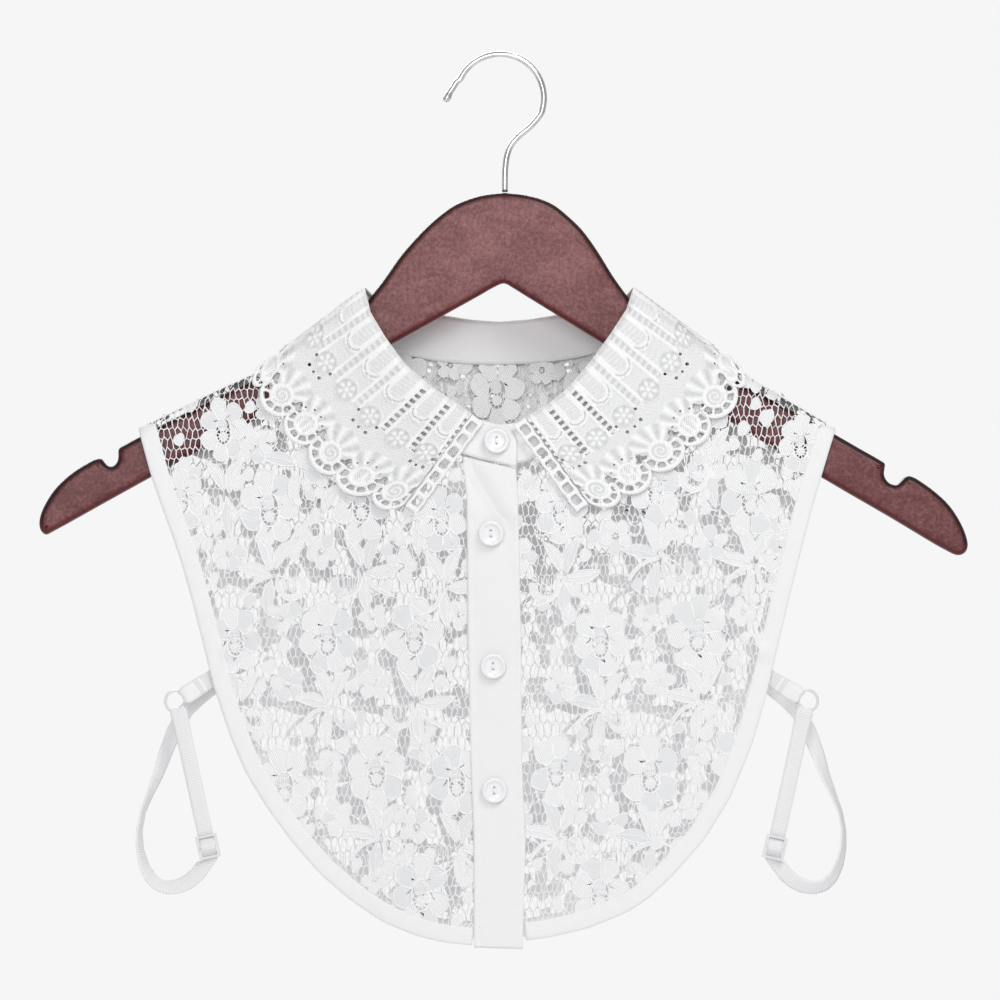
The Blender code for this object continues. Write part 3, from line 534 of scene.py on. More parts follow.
def mahogany_material():
    """Speckled red face, lighter than the edges as painted sheen and palest at the middle as a painted
    highlight; near-black upper edge and dark red lower edge, both painted shade.
    """
    m, tree, s = shader_of("mahogany_satin", (0.14, 0.032, 0.036), 0.36)
    coords = object_coords(tree)
    at = split(tree, coords["Object"])
    facing = split(tree, coords["Normal"])
    along = mapped(tree, coords["Object"], Scale=(1.0, 1.0, 2.2))
    grain = noise_of(tree, along, Scale=42.0, Detail=8.0, Roughness=0.6, Distortion=0.8)
    speck = noise_of(tree, coords["Object"], Scale=620.0, Detail=3.0, Roughness=0.8)
    mix = math_node(tree, "MULTIPLY", grain, 0.34)
    mix = math_node(tree, "ADD", mix, math_node(tree, "MULTIPLY", speck, 0.66))
    # Painted highlight: the face is made paler towards the middle of the hanger.
    painted_highlight = ranged(tree, math_node(tree, "ABSOLUTE", at["X"]), 0.02, 0.17, 0.055, -0.03)
    mix = math_node(tree, "ADD", mix, painted_highlight)
    # The face's ramp is lighter than the edges' ramps as painted sheen; its speckle and grain are the wood's
    # own.
    face = ramp(tree, mix, [
        (0.34, (0.090, 0.024, 0.026)), (0.5, (0.165, 0.055, 0.058)), (0.68, (0.285, 0.125, 0.128)),
    ])
    # Painted shade on the rounded edges: near-black on the upper edge, dark red on the lower edge.
    upper = ramp(tree, mix, [(0.36, (0.016, 0.003, 0.004)), (0.64, (0.035, 0.006, 0.007))])
    lower = ramp(tree, mix, [(0.36, (0.075, 0.007, 0.009)), (0.64, (0.130, 0.014, 0.017))])
    edge = mixed(tree, ranged(tree, facing["Z"], -0.08, 0.12), lower, upper)
    joint = math_node(tree, "ABSOLUTE", math_node(tree, "SUBTRACT", at["X"], JOINT_AT))
    joint = math_node(tree, "LESS_THAN", joint, JOINT_HALF)
    # Share of the face's painted sheen against the edges' painted shade, by how square the surface faces
    # front; the glued joint pulls towards the edge colour.
    flat = ranged(tree, math_node(tree, "ABSOLUTE", facing["Y"]), 0.78, 0.996)
    flat = math_node(tree, "SUBTRACT", flat, math_node(tree, "MULTIPLY", joint, 0.28))
    tree.links.new(mixed(tree, flat, edge, face), s.inputs["Base Color"])
    tree.links.new(scaled(tree, speck, 0.22, 0.26), s.inputs["Roughness"])
    bumped(tree, s, speck, 0.12, 0.0002)
    s.inputs["Specular IOR Level"].default_value = 0.25
    s.inputs["Coat Weight"].default_value = 0.08
    s.inputs["Coat Roughness"].default_value = 0.35
    return m


def chrome_material():
    m, tree, s = shader_of("chrome_wire", (0.72, 0.72, 0.73), 0.12)
    s.inputs["Metallic"].default_value = 1.0
    noise = noise_of(tree, object_coords(tree)["Object"], Scale=220.0, Detail=4.0)
    colour = ramp(tree, noise, [(0.35, (0.62, 0.62, 0.64)), (0.6, (0.80, 0.80, 0.81))])
    tree.links.new(colour, s.inputs["Base Color"])
    tree.links.new(scaled(tree, noise, 0.14, 0.06), s.inputs["Roughness"])
    return m


MAHOGANY = mahogany_material()
CHROME = chrome_material()


# Lace: hexagon net, filled motifs and cords that outline them


LAYERS = 7
LAYER_STEP = 0.03  # millimetres by which each motif lies above the one before it
REAR_DROP = 0.12
KNOT_LAP = 0.00008
THREAD_SLOT, DENSE_SLOT, SHEER_SLOT = 0, 1, 2


class Lace:
    """Net lace on one cloth field, inside a polygon."""

    def __init__(self, where, poly, sides=4):
        self.where = where
        self.sides = sides
        self.poly = np.asarray(poly, float)
        self.pile = Pile()
        self.u0, self.v0 = np.floor(self.poly.min(axis=0)) - 4
        size = np.ceil(self.poly.max(axis=0)) + 4 - (self.u0, self.v0)
        self.wide, self.tall = int(size[0]), int(size[1])
        uu, vv = np.meshgrid(np.arange(self.wide) + self.u0 + 0.5, np.arange(self.tall) + self.v0 + 0.5)
        self.panel = inside(self.poly, uu, vv)
        self.filled = np.zeros(self.panel.shape, bool)
        self.layer = 0

    def look(self, mask, u, v):
        i = np.clip((np.asarray(v) - self.v0).astype(int), 0, self.tall - 1)
        j = np.clip((np.asarray(u) - self.u0).astype(int), 0, self.wide - 1)
        return mask[i, j]

    def fill(self, poly):
        lo = np.maximum(np.floor(poly.min(axis=0)) - (self.u0, self.v0), 0).astype(int)
        hi = np.ceil(poly.max(axis=0)) - (self.u0, self.v0) + 1
        hi = np.minimum(hi, (self.wide, self.tall)).astype(int)
        if hi[0] <= lo[0] or hi[1] <= lo[1]:
            return
        u = np.arange(lo[0], hi[0]) + self.u0 + 0.5
        v = np.arange(lo[1], hi[1]) + self.v0 + 0.5
        self.filled[lo[1]:hi[1], lo[0]:hi[0]] |= inside(poly, *np.meshgrid(u, v))

    def seen(self, points):
        return self.look(self.panel, points[:, 0], points[:, 1]).any()

    def taken(self, poly):
        """Whether another motif already lies where this one would."""
        mid = poly.mean(axis=0)
        probe = np.concatenate([mid + (poly - mid) * s for s in (0.25, 0.55, 0.8)])
        return self.look(self.filled, probe[:, 0], probe[:, 1]).mean() > 0.34

    def keep(self, uv, faces):
        """Faces whose middles lie on the panel."""
        mid = uv[faces].mean(axis=1)
        return faces[self.look(self.panel, mid[:, 0], mid[:, 1])]

    def turned(self, points, faces, rear=False):
        """Faces turned to the outer side of the cloth, or to its inner side."""
        p = points.reshape(-1, 3)[faces]
        y = np.cross(p[:, 1] - p[:, 0], p[:, 2] - p[:, 0])[:, 1].sum()
        out = y < 0 if self.where in FACING else y > 0
        return faces if out != rear else faces[:, ::-1]

    def blob(self, poly, dense=True, cord=0.36, crown=0.22, over=False):
        """Filled shape, a little domed, with a cord round it."""
        if not self.seen(poly) or (not over and self.taken(poly)):
            return
        self.fill(poly)
        self.layer = (self.layer + 1) % LAYERS
        lift = LAYER_STEP * self.layer
        n = len(poly)
        mid = poly.mean(axis=0)
        rings = [(1.0, 0.0), (0.82, crown * 0.7), (0.45, crown)]
        uv = np.concatenate([mid + (poly - mid) * s for s, _ in rings] + [mid[None, :]])
        high = np.concatenate([np.full(n, h) for _, h in rings] + [[crown]]) + lift
        k = np.arange(n)
        m = (k + 1) % n
        quads = np.concatenate([
            np.stack([r * n + m, r * n + k, (r + 1) * n + k, (r + 1) * n + m], 1) for r in (0, 1)
        ])
        tris = np.stack([2 * n + m, 2 * n + k, np.full(n, 3 * n)], 1)
        slot = DENSE_SLOT if dense else SHEER_SLOT
        points = lay(self.where, uv[:, 0], uv[:, 1], high)
        self.pile.add(points, self.turned(points, self.keep(uv, quads)), slot)
        self.pile.add(points, self.turned(points, self.keep(uv, tris)), slot)
        rear = np.concatenate([poly, mid[None, :]])
        points = lay(self.where, rear[:, 0], rear[:, 1], lift - REAR_DROP)
        fan = self.keep(rear, np.stack([k, m, np.full(n, n)], 1))
        self.pile.add(points, self.turned(points, fan, True), slot)
        self.line(poly, cord, 0.16 + lift, closed=True)

    def band(self, line, widths, dense=True, cord=0.32, rib=False, over=False):
        """Filled strip along a line, such as a leaf or a scroll."""
        line = np.asarray(line, float)
        if not self.seen(line) or (not over and self.look(self.filled, line[:, 0], line[:, 1]).mean() > 0.4):
            return
        half = (aside(line, 1.0) - line) * np.asarray(widths, float)[:, None] / 2
        left = line + half
        right = line - half
        poly = np.concatenate([left, right[::-1]])
        self.fill(poly)
        self.layer = (self.layer + 1) % LAYERS
        lift = LAYER_STEP * self.layer
        uv = np.stack([left, left * 0.5 + line * 0.5, line, right * 0.5 + line * 0.5, right], axis=1)
        rows, cols = uv.shape[:2]
        high = np.array([0.0, 0.2, 0.12 if rib else 0.24, 0.2, 0.0]) + lift
        points = lay(self.where, uv[..., 0], uv[..., 1], np.broadcast_to(high, (rows, cols)))
        flat = uv.reshape(-1, 2)
        faces = self.keep(flat, grid_faces(rows, cols))
        slot = DENSE_SLOT if dense else SHEER_SLOT
        self.pile.add(points, self.turned(points, faces), slot)
        points = lay(self.where, uv[..., 0], uv[..., 1], lift - REAR_DROP)
        self.pile.add(points, self.turned(points, faces, True), slot)
        self.line(poly, cord, 0.14 + lift, closed=True)
        if rib:
            self.line(line, cord * 0.8, 0.26 + lift)

    def line(self, uv, radius, high=0.15, closed=False):
        """Cord on the cloth. Stretches off the panel are left out."""
        uv = np.asarray(uv, float)
        on = self.look(self.panel, uv[:, 0], uv[:, 1])
        if not on.any():
            return
        points = lay(self.where, uv[:, 0], uv[:, 1], high)
        twist = 1 + 0.14 * np.cos(np.arange(len(uv)) * 2.4)
        if on.all():
            tube(self.pile, points, radius * 0.001 * twist, self.sides, 0, closed)
            return
        if closed:
            shift = int(np.argmin(on))
            uv = np.roll(uv, -shift, axis=0)
            on = np.roll(on, -shift)
            points = np.roll(points, -shift, axis=0)
        start = None
        for k in range(len(uv) + 1):
            if k < len(uv) and on[k]:
                start = k if start is None else start
            elif start is not None:
                if k - start > 1:
                    tube(self.pile, points[start:k], radius * 0.001 * twist[start:k], self.sides)
                start = None

    def net(self, wide, straight, slant, radius):
        """Elongated hexagons, each knot a little out of place."""
        pitch = straight + slant
        rows = int(self.tall / pitch) + 3
        cols = int(self.wide / wide) + 3
        r = np.arange(rows)[:, None]
        c = np.arange(cols)[None, :]
        u = self.u0 + (c + 0.5 * (r % 2)) * wide
        v = self.v0 + r * pitch + 0 * c
        top = np.stack([u, v], axis=-1)
        low = np.stack([u, v + straight], axis=-1)
        for p, s in ((top, 0.0), (low, 5.0)):
            x, y = p[..., 0].copy(), p[..., 1].copy()
            p[..., 0] += 0.8 * np.sin(x * 0.93 + y * 1.7 + s) + 1.1 * np.sin(y / 17 + x / 29)
            p[..., 1] += 1.0 * np.sin(x * 1.31 - y * 0.77 + s)
        after = np.roll(top, -1, axis=0)
        starts = []
        ends = []
        for i in range(rows - 1):
            for j in range(1, cols - 1):
                k = j - 1 if i % 2 == 0 else j
                starts += [top[i, j], low[i, j], low[i, j]]
                ends += [low[i, j], after[i, k], after[i, k + 1]]
        a = np.array(starts)
        b = np.array(ends)
        in_panel = self.look(self.panel, a[:, 0], a[:, 1]) & self.look(self.panel, b[:, 0], b[:, 1])
        buried = np.ones(len(a), bool)
        for s in (0.0, 0.35, 0.65, 1.0):
            p = a + (b - a) * s
            buried &= self.look(self.filled, p[:, 0], p[:, 1])
        use = in_panel & ~buried
        a, b = a[use], b[use]
        pa = lay(self.where, a[:, 0], a[:, 1], 0.0)
        pb = lay(self.where, b[:, 0], b[:, 1], 0.0)
        t = unit_of(pb - pa)
        pa = pa - t * KNOT_LAP
        pb = pb + t * KNOT_LAP
        side = unit_of(np.cross(t, np.array([0, -1.0, 0])))
        up = np.cross(t, side)
        thick = radius * 0.001 * (1 + 0.25 * np.sin(a[:, :1] * 0.7 + a[:, 1:] * 0.3))
        n = self.sides
        turns = [2 * math.pi * k / n for k in range(n)]
        ring = [math.cos(w) * side + math.sin(w) * up for w in turns]
        points = np.stack([pa + thick * d for d in ring] + [pb + thick * d for d in ring], axis=1)
        base = (np.arange(len(a)) * 2 * n)[:, None, None]
        self.pile.add(points, (base + grid_faces(2, n, wrap=True)[None, :, :]).reshape(-1, 4), 0)


def oval(cu, cv, ru, rv, count, angle=0.0, wobble=0.0, seed=0.0):
    a = np.linspace(0, 2 * math.pi, count, endpoint=False)
    r = 1 + wobble * np.sin(3 * a + seed * 6) + wobble * 0.6 * np.sin(5 * a + seed * 11)
    x = ru * np.cos(a) * r
    y = rv * np.sin(a) * r
    c, s = math.cos(angle), math.sin(angle)
    return np.stack([cu + x * c - y * s, cv + x * s + y * c], 1)


def leaf_line(u0, v0, u1, v1, bow, count=9):
    """Line from base to tip that bows to one side."""
    s = np.linspace(0, 1, count)
    du, dv = u1 - u0, v1 - v0
    bend = bow * np.sin(math.pi * s)
    return np.stack([u0 + du * s - dv * bend, v0 + dv * s + du * bend], 1)


def in_sector(p, middle, half, ru=1.0, rv=1.0, least=0.0):
    """Points kept within a sector of an oval, so that petals don't cross."""
    off = (np.arctan2(p[:, 1] / rv, p[:, 0] / ru) - middle + math.pi) % (2 * math.pi) - math.pi
    reach = np.maximum(np.hypot(p[:, 0] / ru, p[:, 1] / rv), least)
    w = middle + np.clip(off, -half, half)
    return np.stack([np.cos(w) * reach * ru, np.sin(w) * reach * rv], axis=1)


PETAL_POINTS = 22
PETAL_POINTS_BACK = 17
LEAF_WIDE = np.array([0.12, 0.5, 0.82, 0.98, 1.0, 0.92, 0.72, 0.42, 0.08])


def big_flower(lace, cu, cv, size, seed):
    """Broad petals, each in its own sector, a tall eye and a ring of small holes under it."""
    petals = 6 + int(chance(seed, 9) > 0.35)
    start = 2 * math.pi * (0.25 + 0.1 * chance(seed, 3))
    ru, rv = 16.5 * size, 26.5 * size
    eu, ev = 9.6 * size, 17.0 * size
    down = 5.0 * size
    for k in range(petals):
        a = start + 2 * math.pi * (k + 0.16 * (chance(seed, k, 5) - 0.5)) / petals
        grow = 1 + 0.14 * (chance(seed, k, 2) - 0.5)
        mu, mv = math.cos(a), math.sin(a)
        count = PETAL_POINTS if lace.sides == 4 else PETAL_POINTS_BACK
        lean = math.atan2(mv * rv, mu * ru)
        p = oval(0, 0, 13.6 * size * grow, 12.6 * size * grow, count, lean, 0.05, chance(seed, k))
        p = in_sector(p + (mu * ru, mv * rv), a, math.pi / petals * 0.97, ru, rv)
        iu, iv = p[:, 0] / eu, (p[:, 1] - down * 0.4) / ev
        r = np.sqrt(iu ** 2 + iv ** 2)
        push = np.where(r < 1, 1 / np.maximum(r, 0.15), 1.0)
        p = np.stack([iu * push * eu, iv * push * ev + down * 0.4], axis=1)
        lace.blob(p + (cu, cv), chance(seed, k, 7) > 0.38, 0.33)
    stem = leaf_line(cu - 0.5, cv - 13.5 * size, cu, cv + 1 * size, 0.06, 8)
    lace.band(stem, np.array([4, 8, 10.5, 11.5, 11.5, 10.5, 8.5, 5]) * size, False, 0.26, over=True)
    for k in range(5):
        x = (k - 2) * 2.1 * size
        lace.line(np.array([(cu + x, cv - 9 * size), (cu + x * 1.1, cv - 2 * size)]), 0.2, 0.34)
    lace.line(oval(cu, cv + down * 0.4, eu, ev, 26), 0.36, 0.3, True)
    hv = cv + 8.5 * size
    lace.fill(oval(cu, hv, 9.8 * size, 10.4 * size, 18))
    lace.blob(oval(cu, hv, 5.2 * size, 5.6 * size, 14, 0, 0.05, chance(seed)), True, 0.28, over=True)
    lace.line(oval(cu, hv, 10 * size, 10.6 * size, 22), 0.34, 0.26, True)
    for k in range(11):
        w = 2 * math.pi * k / 11 + 0.2
        c, s = math.cos(w) * size, math.sin(w) * size
        lace.line(np.array([(cu + 5.0 * c, hv + 5.4 * s), (cu + 10 * c, hv + 10.6 * s)]), 0.3, 0.12)


def small_flower(lace, cu, cv, size, seed):
    """Loose flower of uneven petals round an open eye."""
    petals = 5
    for k in range(petals):
        a = 2 * math.pi * k / petals + chance(seed, 1) * 1.2
        mu, mv = math.cos(a), math.sin(a)
        grow = 0.8 + 0.5 * chance(seed, k, 6)
        p = oval(0, 0, 7.6 * size * grow, 7.0 * size, 14, a, 0.09, chance(seed, k))
        p = in_sector(p + (mu * 9.8 * size, mv * 11 * size), a, 0.6, least=4.2 * size)
        lace.blob(p + (cu, cv), chance(seed, k, 4) > 0.3, 0.28)
    lace.fill(oval(cu, cv, 4 * size, 4.4 * size, 10))
    for k in range(3):
        a = math.pi * k / 3 + chance(seed, 8)
        c, s = math.cos(a) * 4.4 * size, math.sin(a) * 4.4 * size
        lace.line(np.array([(cu - c, cv - s), (cu + c, cv + s)]), 0.24, 0.1)


def scroll(lace, cu, cv, r, start, end, seed):
    """Curl with a round end."""
    a = np.radians(np.linspace(start, end, 15))
    shrink = np.linspace(1.0, 0.72, 15)
    line = np.stack([cu + r * shrink * np.cos(a), cv + 1.15 * r * shrink * np.sin(a)], 1)
    widths = np.concatenate([np.linspace(2.2, 6.5, 10), np.linspace(7, 8.6, 5)])
    lace.band(line, widths, chance(seed) > 0.3, 0.3)
    tip = line[-1]
    lace.blob(oval(tip[0], tip[1], 5.4, 5.8, 12), True, 0.34)
    for k in range(4):
        s = -0.5 + k * 0.33
        lace.line(np.array([(cu + s * r, cv - 0.5 * r), (cu + s * r * 0.9, cv + 0.75 * r)]), 0.26, 0.05)


SPRAY_SEEDS = (1, 0, 2, 3)
SPRAY = [  # leaf from u, v to u, v, bow, width, share of sheer ones
    (-3, -3, -17, -38, 0.12, 12.5, 0.25), (3, -5, 20, -34, -0.1, 11.5, -1),
    (-2, 1, -37, -6, 0.08, 13, 0.3), (-1, 6, -4, 42, 0.06, 11.5, 0.4),
]


def spray(lace, cu, cv, seed, flip=1):
    """Stem with four leaves and a curl."""
    f = flip
    for k, (u0, v0, u1, v1, bow, wide, sheer) in enumerate(SPRAY):
        bow = bow * f if k < 2 else bow
        line = leaf_line(cu + u0 * f, cv + v0, cu + u1 * f, cv + v1, bow)
        lace.band(line, LEAF_WIDE * wide, chance(seed, SPRAY_SEEDS[k]) > sheer, rib=True)
    stem = leaf_line(cu, cv + 2, cu - 30 * f, cv + 24, 0.14, 9)
    lace.band(stem, np.full(9, 3.2), True, 0.3)
    start, end = (215, -10) if f > 0 else (-35, 190)
    scroll(lace, cu + 19 * f, cv + 9, 15, start, end, seed)
    lace.line(leaf_line(cu, cv, cu + 30 * f, cv + 30, -0.2, 9), 0.42, 0.2)


def dot(lace, cu, cv, r, seed):
    lace.blob(oval(cu, cv, r * 0.92, r * 1.15, 13, 0.4, 0.10, chance(seed, cu)), chance(seed, cv) > 0.2, 0.26)


DOTS = [  # across and down from the flower, radius
    (-34, -28, 7.5), (33, 26, 6.5), (-46, 8, 5.5), (24, 44, 6), (-28, -52, 5.5), (46, 4, 5.5), (-20, 92, 5.5),
]


def dress(lace, flowers):
    """Motifs round each flower of a half-drop repeat."""
    for n, (cu, cv, size) in enumerate(flowers):
        big_flower(lace, cu, cv, size, n * 1.37 + cu * 0.11 + cv * 0.013)
    for n, (cu, cv, size) in enumerate(flowers):
        seed = n * 1.37 + cu * 0.11 + cv * 0.013
        flip = 1 if n % 3 else -1
        spray(lace, cu + 3, cv + 66, seed, flip)
        small_flower(lace, cu - 40, cv + 46, 0.95, seed)
        small_flower(lace, cu + 45, cv - 22, 0.8, seed + 2)
        for k, (du, dv, r) in enumerate(DOTS):
            dot(lace, cu + du + 3 * chance(seed, k), cv + dv + 3 * chance(k, seed), r, seed)


def ridge_line(u_from, u_to, count):
    u = np.linspace(u_from, u_to, count)
    return np.stack([u, ridge_at(u) + 0.6], axis=1)


SHOULDER_PITCH = 3.1
SHOULDER_CORD = 0.00026
SEAM_CORDS = [(0.0, 0.00052, (front,)), (0.42, 0.0003, (front, back))]  # below the ridge, radius, cloths


def shoulder(lace, u_from, u_to):
    """Net drawn over the shoulder from front to back, with the seam's cord along the top."""
    over = np.array([2.0, 1.1, 0.5, 0.15, 0.0])
    for k, u in enumerate(np.arange(u_from, u_to, SHOULDER_PITCH)):
        lean = 1.5 if k % 2 else -1.5
        for where, way in ((front, lean), (back, -lean)):
            at = u + way * over / 2.0 + 0.4 * math.sin(k * 2.3)
            tube(lace.pile, where(at, ridge_at(at) + over, 0.1), SHOULDER_CORD, 4)
    u = np.arange(u_from, u_to, 1.3)
    twist = 1 + 0.22 * np.cos(np.arange(len(u)) * 2.1)
    for below, radius, cloths in SEAM_CORDS:
        for where in cloths:
            tube(lace.pile, where(u, ridge_at(u) + below, 0.1), radius * twist, 4)


FLOWERS_LEFT = [
    (224, 430, 0.8), (182, 500, 0.8), (270, 508, 0.98), (362, 505, 0.95), (236, 640, 0.85), (328, 638, 0.95),
    (415, 636, 0.98), (285, 785, 0.95), (377, 770, 0.95), (457, 780, 0.9), (330, 900, 0.9), (421, 892, 0.95),
    (442, 520, 0.85), (338, 338, 0.95), (296, 398, 0.95), (372, 402, 1.0), (318, 452, 0.8), (420, 448, 0.8),
]
FLOWERS_RIGHT = [
    (800, 445, 0.75), (655, 490, 0.85), (750, 498, 1.0), (560, 510, 0.85), (600, 640, 0.95), (697, 634, 1.0),
    (785, 560, 0.8), (556, 770, 0.9), (650, 774, 0.98), (738, 760, 0.9), (600, 892, 0.95), (690, 868, 0.9),
    (708, 400, 0.85), (662, 338, 0.95), (624, 396, 1.0), (566, 440, 0.8),
]


def front_lace(name, edge, neck, placket, side, flowers, node_name):
    edge_line = aside(smooth_line(edge, 60), side * BINDING_WIDE / 2)
    edge_line[0][1] = ridge_at(edge_line[0][0]) + 0.6
    neck_line = aside(smooth_line(neck, 24), -side * 1.2)
    top = ridge_line(edge_line[0][0], neck_line[0][0], 13)
    under = [(u + side * 7, v) for u, v in placket[1:]]
    poly = np.concatenate([top[:-1], neck_line, np.array(under), edge_line[::-1][:-1]])
    lace = Lace(front, poly)
    dress(lace, flowers)
    lace.net(wide=5.5, straight=6.6, slant=3.3, radius=0.25)
    shoulder(lace, *sorted((edge_line[0][0], neck_line[0][0])))
    return lace.pile.piece(name, [THREAD, DENSE, SHEER], "net_lace", [node_name])


FOOT_LEFT, FOOT_RIGHT = (472, 940), (526, 938)


def back_lace():
    left = aside(smooth_line(behind(EDGE_LEFT, BEHIND_SHIFT, FOOT_LEFT), 60), BINDING_WIDE / 2)
    right = aside(smooth_line(behind(EDGE_RIGHT, -BEHIND_SHIFT, FOOT_RIGHT), 60), -BINDING_WIDE / 2)
    for line in (left, right):
        line[0][1] = ridge_at(line[0][0]) + 0.6
    neck = aside(smooth_line(NECK_BACK, 40), 1.5)
    a = ridge_line(left[0][0], neck[0][0], 9)
    b = ridge_line(neck[-1][0], right[0][0], 9)
    poly = np.concatenate([a[:-1], neck, b[1:], right[1:], left[1:][::-1]])
    lace = Lace(back, poly, 3)
    flowers = []
    for row, v in enumerate((392, 520, 652, 786, 915)):
        for k in range(-5, 6):
            flowers.append((497 + k * 92 + (46 if row % 2 else 0), v + 6 * math.sin(k * 2.1 + row), 0.93))
    dress(lace, flowers)
    lace.net(wide=7.6, straight=9.6, slant=4.8, radius=0.30)
    return lace.pile.piece("lace_of_back", [THREAD, DENSE, SHEER], "net_lace", ["back_lace"])


LACE_LEFT = front_lace("lace_of_front_left", EDGE_LEFT, NECK_LEFT, PLACKET_LEFT, 1, FLOWERS_LEFT,
                       "front_lace_left")
LACE_RIGHT = front_lace("lace_of_front_right", EDGE_RIGHT, NECK_RIGHT, PLACKET_RIGHT, -1, FLOWERS_RIGHT,
                        "front_lace_right")
LACE_BACK = back_lace()


# Guipure collar leaves

LEAF_FRONT_LEFT = [
    (472.3, 414.5, 405.5, 504), (453, 401, 374, 493), (430, 386, 337, 474), (405, 364, 311, 444),
    (386, 338, 287, 416), (371, 313, 263, 386), (365, 287.4, 264, 362.6),
]
LEAF_BACK_LEFT = [
    (365, 287.4, 264, 362.6), (375, 297.5, 271, 405), (397, 304, 306, 438), (420, 310, 350, 455),
    (446, 315, 399, 461), (472, 319, 449, 463), (497.95, 321, 497.9, 464),
]
LEAF_FRONT_RIGHT = [
    (525, 417.5, 587, 501.5), (546, 406, 619, 492), (568, 388, 650, 470), (590, 362, 683, 445),
    (609, 336, 708, 418), (626, 310, 735, 387), (633.5, 287, 734, 361.4),
]
LEAF_BACK_RIGHT = [
    (633.5, 287, 734, 361.4), (624, 298, 726, 404), (601, 304, 691, 438), (578, 310, 647, 455),
    (552, 315, 598, 461), (526, 319, 548, 463), (498.05, 321, 498.1, 464),
]
EDGING_LEFT = (478, 419, 411.5, 510)
EDGING_RIGHT = (519, 422, 581.5, 508)
EDGING_HOLES = 7


def grid_normals(p):
    return unit_of(np.cross(np.gradient(p, axis=1), np.gradient(p, axis=0)))


def forward_normals(p, row, col):
    """Normals of a grid, turned so that the one at a row and column looks to the front."""
    n = grid_normals(p)
    return -n if n[row, col, 1] > 0 else n


def add_used(pile, points, faces, slot, painted_shade):
    at, back_to = np.unique(faces, return_inverse=True)
    pile.add(points[at], back_to.reshape(faces.shape), slot, painted_shade[at])


def add_apart(pile, corners, slot=0, painted_shade=1.0, flip=False):
    """Faces that share no points, from one array of points for each corner."""
    m = len(corners[0])
    faces = np.arange(m)[:, None] + m * np.arange(len(corners))[None, :]
    pile.add(np.concatenate(corners), faces[:, ::-1] if flip else faces, slot, painted_shade)


def cut_wall(pile, outer, inner, field, painted_shade, slot=0):
    """Wall between two grids, cut through wherever field is below 0."""
    w = painted_shade.ravel()
    rows, cols = field.shape
    o = outer.reshape(-1, 3)
    i = inner.reshape(-1, 3)
    f = field.ravel()
    q = grid_faces(rows, cols)
    kept = (f[q] > 0).sum(axis=1)
    part = q[(kept > 0) & (kept < 4)]
    tri = np.concatenate([part[:, [0, 1, 2]], part[:, [0, 2, 3]]])
    on = f[tri] > 0
    n = on.sum(axis=1)
    for faces in (q[kept == 4], tri[n == 3]):
        add_used(pile, o, faces[:, ::-1], slot, w)
        add_used(pile, i, faces, slot, w)
    for count in (1, 2):
        t = tri[n == count]
        if not len(t):
            continue
        s = on[n == count]
        odd = np.argmax(s if count == 1 else ~s, axis=1)
        a, b, c = (t[np.arange(len(t)), (odd + k) % 3] for k in range(3))
        wb = (f[a] / (f[a] - f[b]))[:, None]
        wc = (f[a] / (f[a] - f[c]))[:, None]
        shade_p, shade_r = 0.5 * (w[a] + w[b]), 0.5 * (w[a] + w[c])
        cuts = []
        for g, flip in ((o, True), (i, False)):
            p = g[a] * (1 - wb) + g[b] * wb
            r = g[a] * (1 - wc) + g[c] * wc
            cuts.append((p, r))
            corners, shades = ([g[a], p, r], [w[a], shade_p, shade_r]) if count == 1 else (
                [p, g[b], g[c], r], [shade_p, w[b], w[c], shade_r])
            add_apart(pile, corners, slot, np.concatenate(shades), flip)
        add_apart(pile, [cuts[0][0], cuts[0][1], cuts[1][1], cuts[1][0]], slot)
    border = border_of(rows, cols)
    after = np.roll(border, -1)
    good = (f[border] > 0) & (f[after] > 0)
    a, b = border[good], after[good]
    add_apart(pile, [o[a], o[b], i[b], i[a]], slot)


LEAF_OUT = 0.00028  # from the middle of the leaf's wall to its outer face
LEAF_IN = 0.00034
RELIEF = 0.0012
LEAF_COLS = 29  # columns a scallop
LEAF_ROWS = 92


def raised_wall(pile, mid, high, field, painted_shade, row, col):
    """Wall on a grid with its outer face in relief and its holes cut."""
    n = forward_normals(mid, row, col)
    cut_wall(pile, mid + n * (LEAF_OUT + high * RELIEF)[..., None], mid - n * LEAF_IN, field, painted_shade)


def rope(dist, half, high):
    return high * np.sqrt(np.clip(1 - (dist / half) ** 2, 0, 1))


def round_hole(x, y, cx, cy, r):
    return np.hypot(x - cx, y - cy) - r


EYELETS = [  # across and down from the rosette, radius
    (-8.5, 14.5, 1.9), (8.5, 14.5, 1.9), (-12.5, 3, 1.7), (12.5, 3, 1.7), (0, 15.5, 1.5),
]


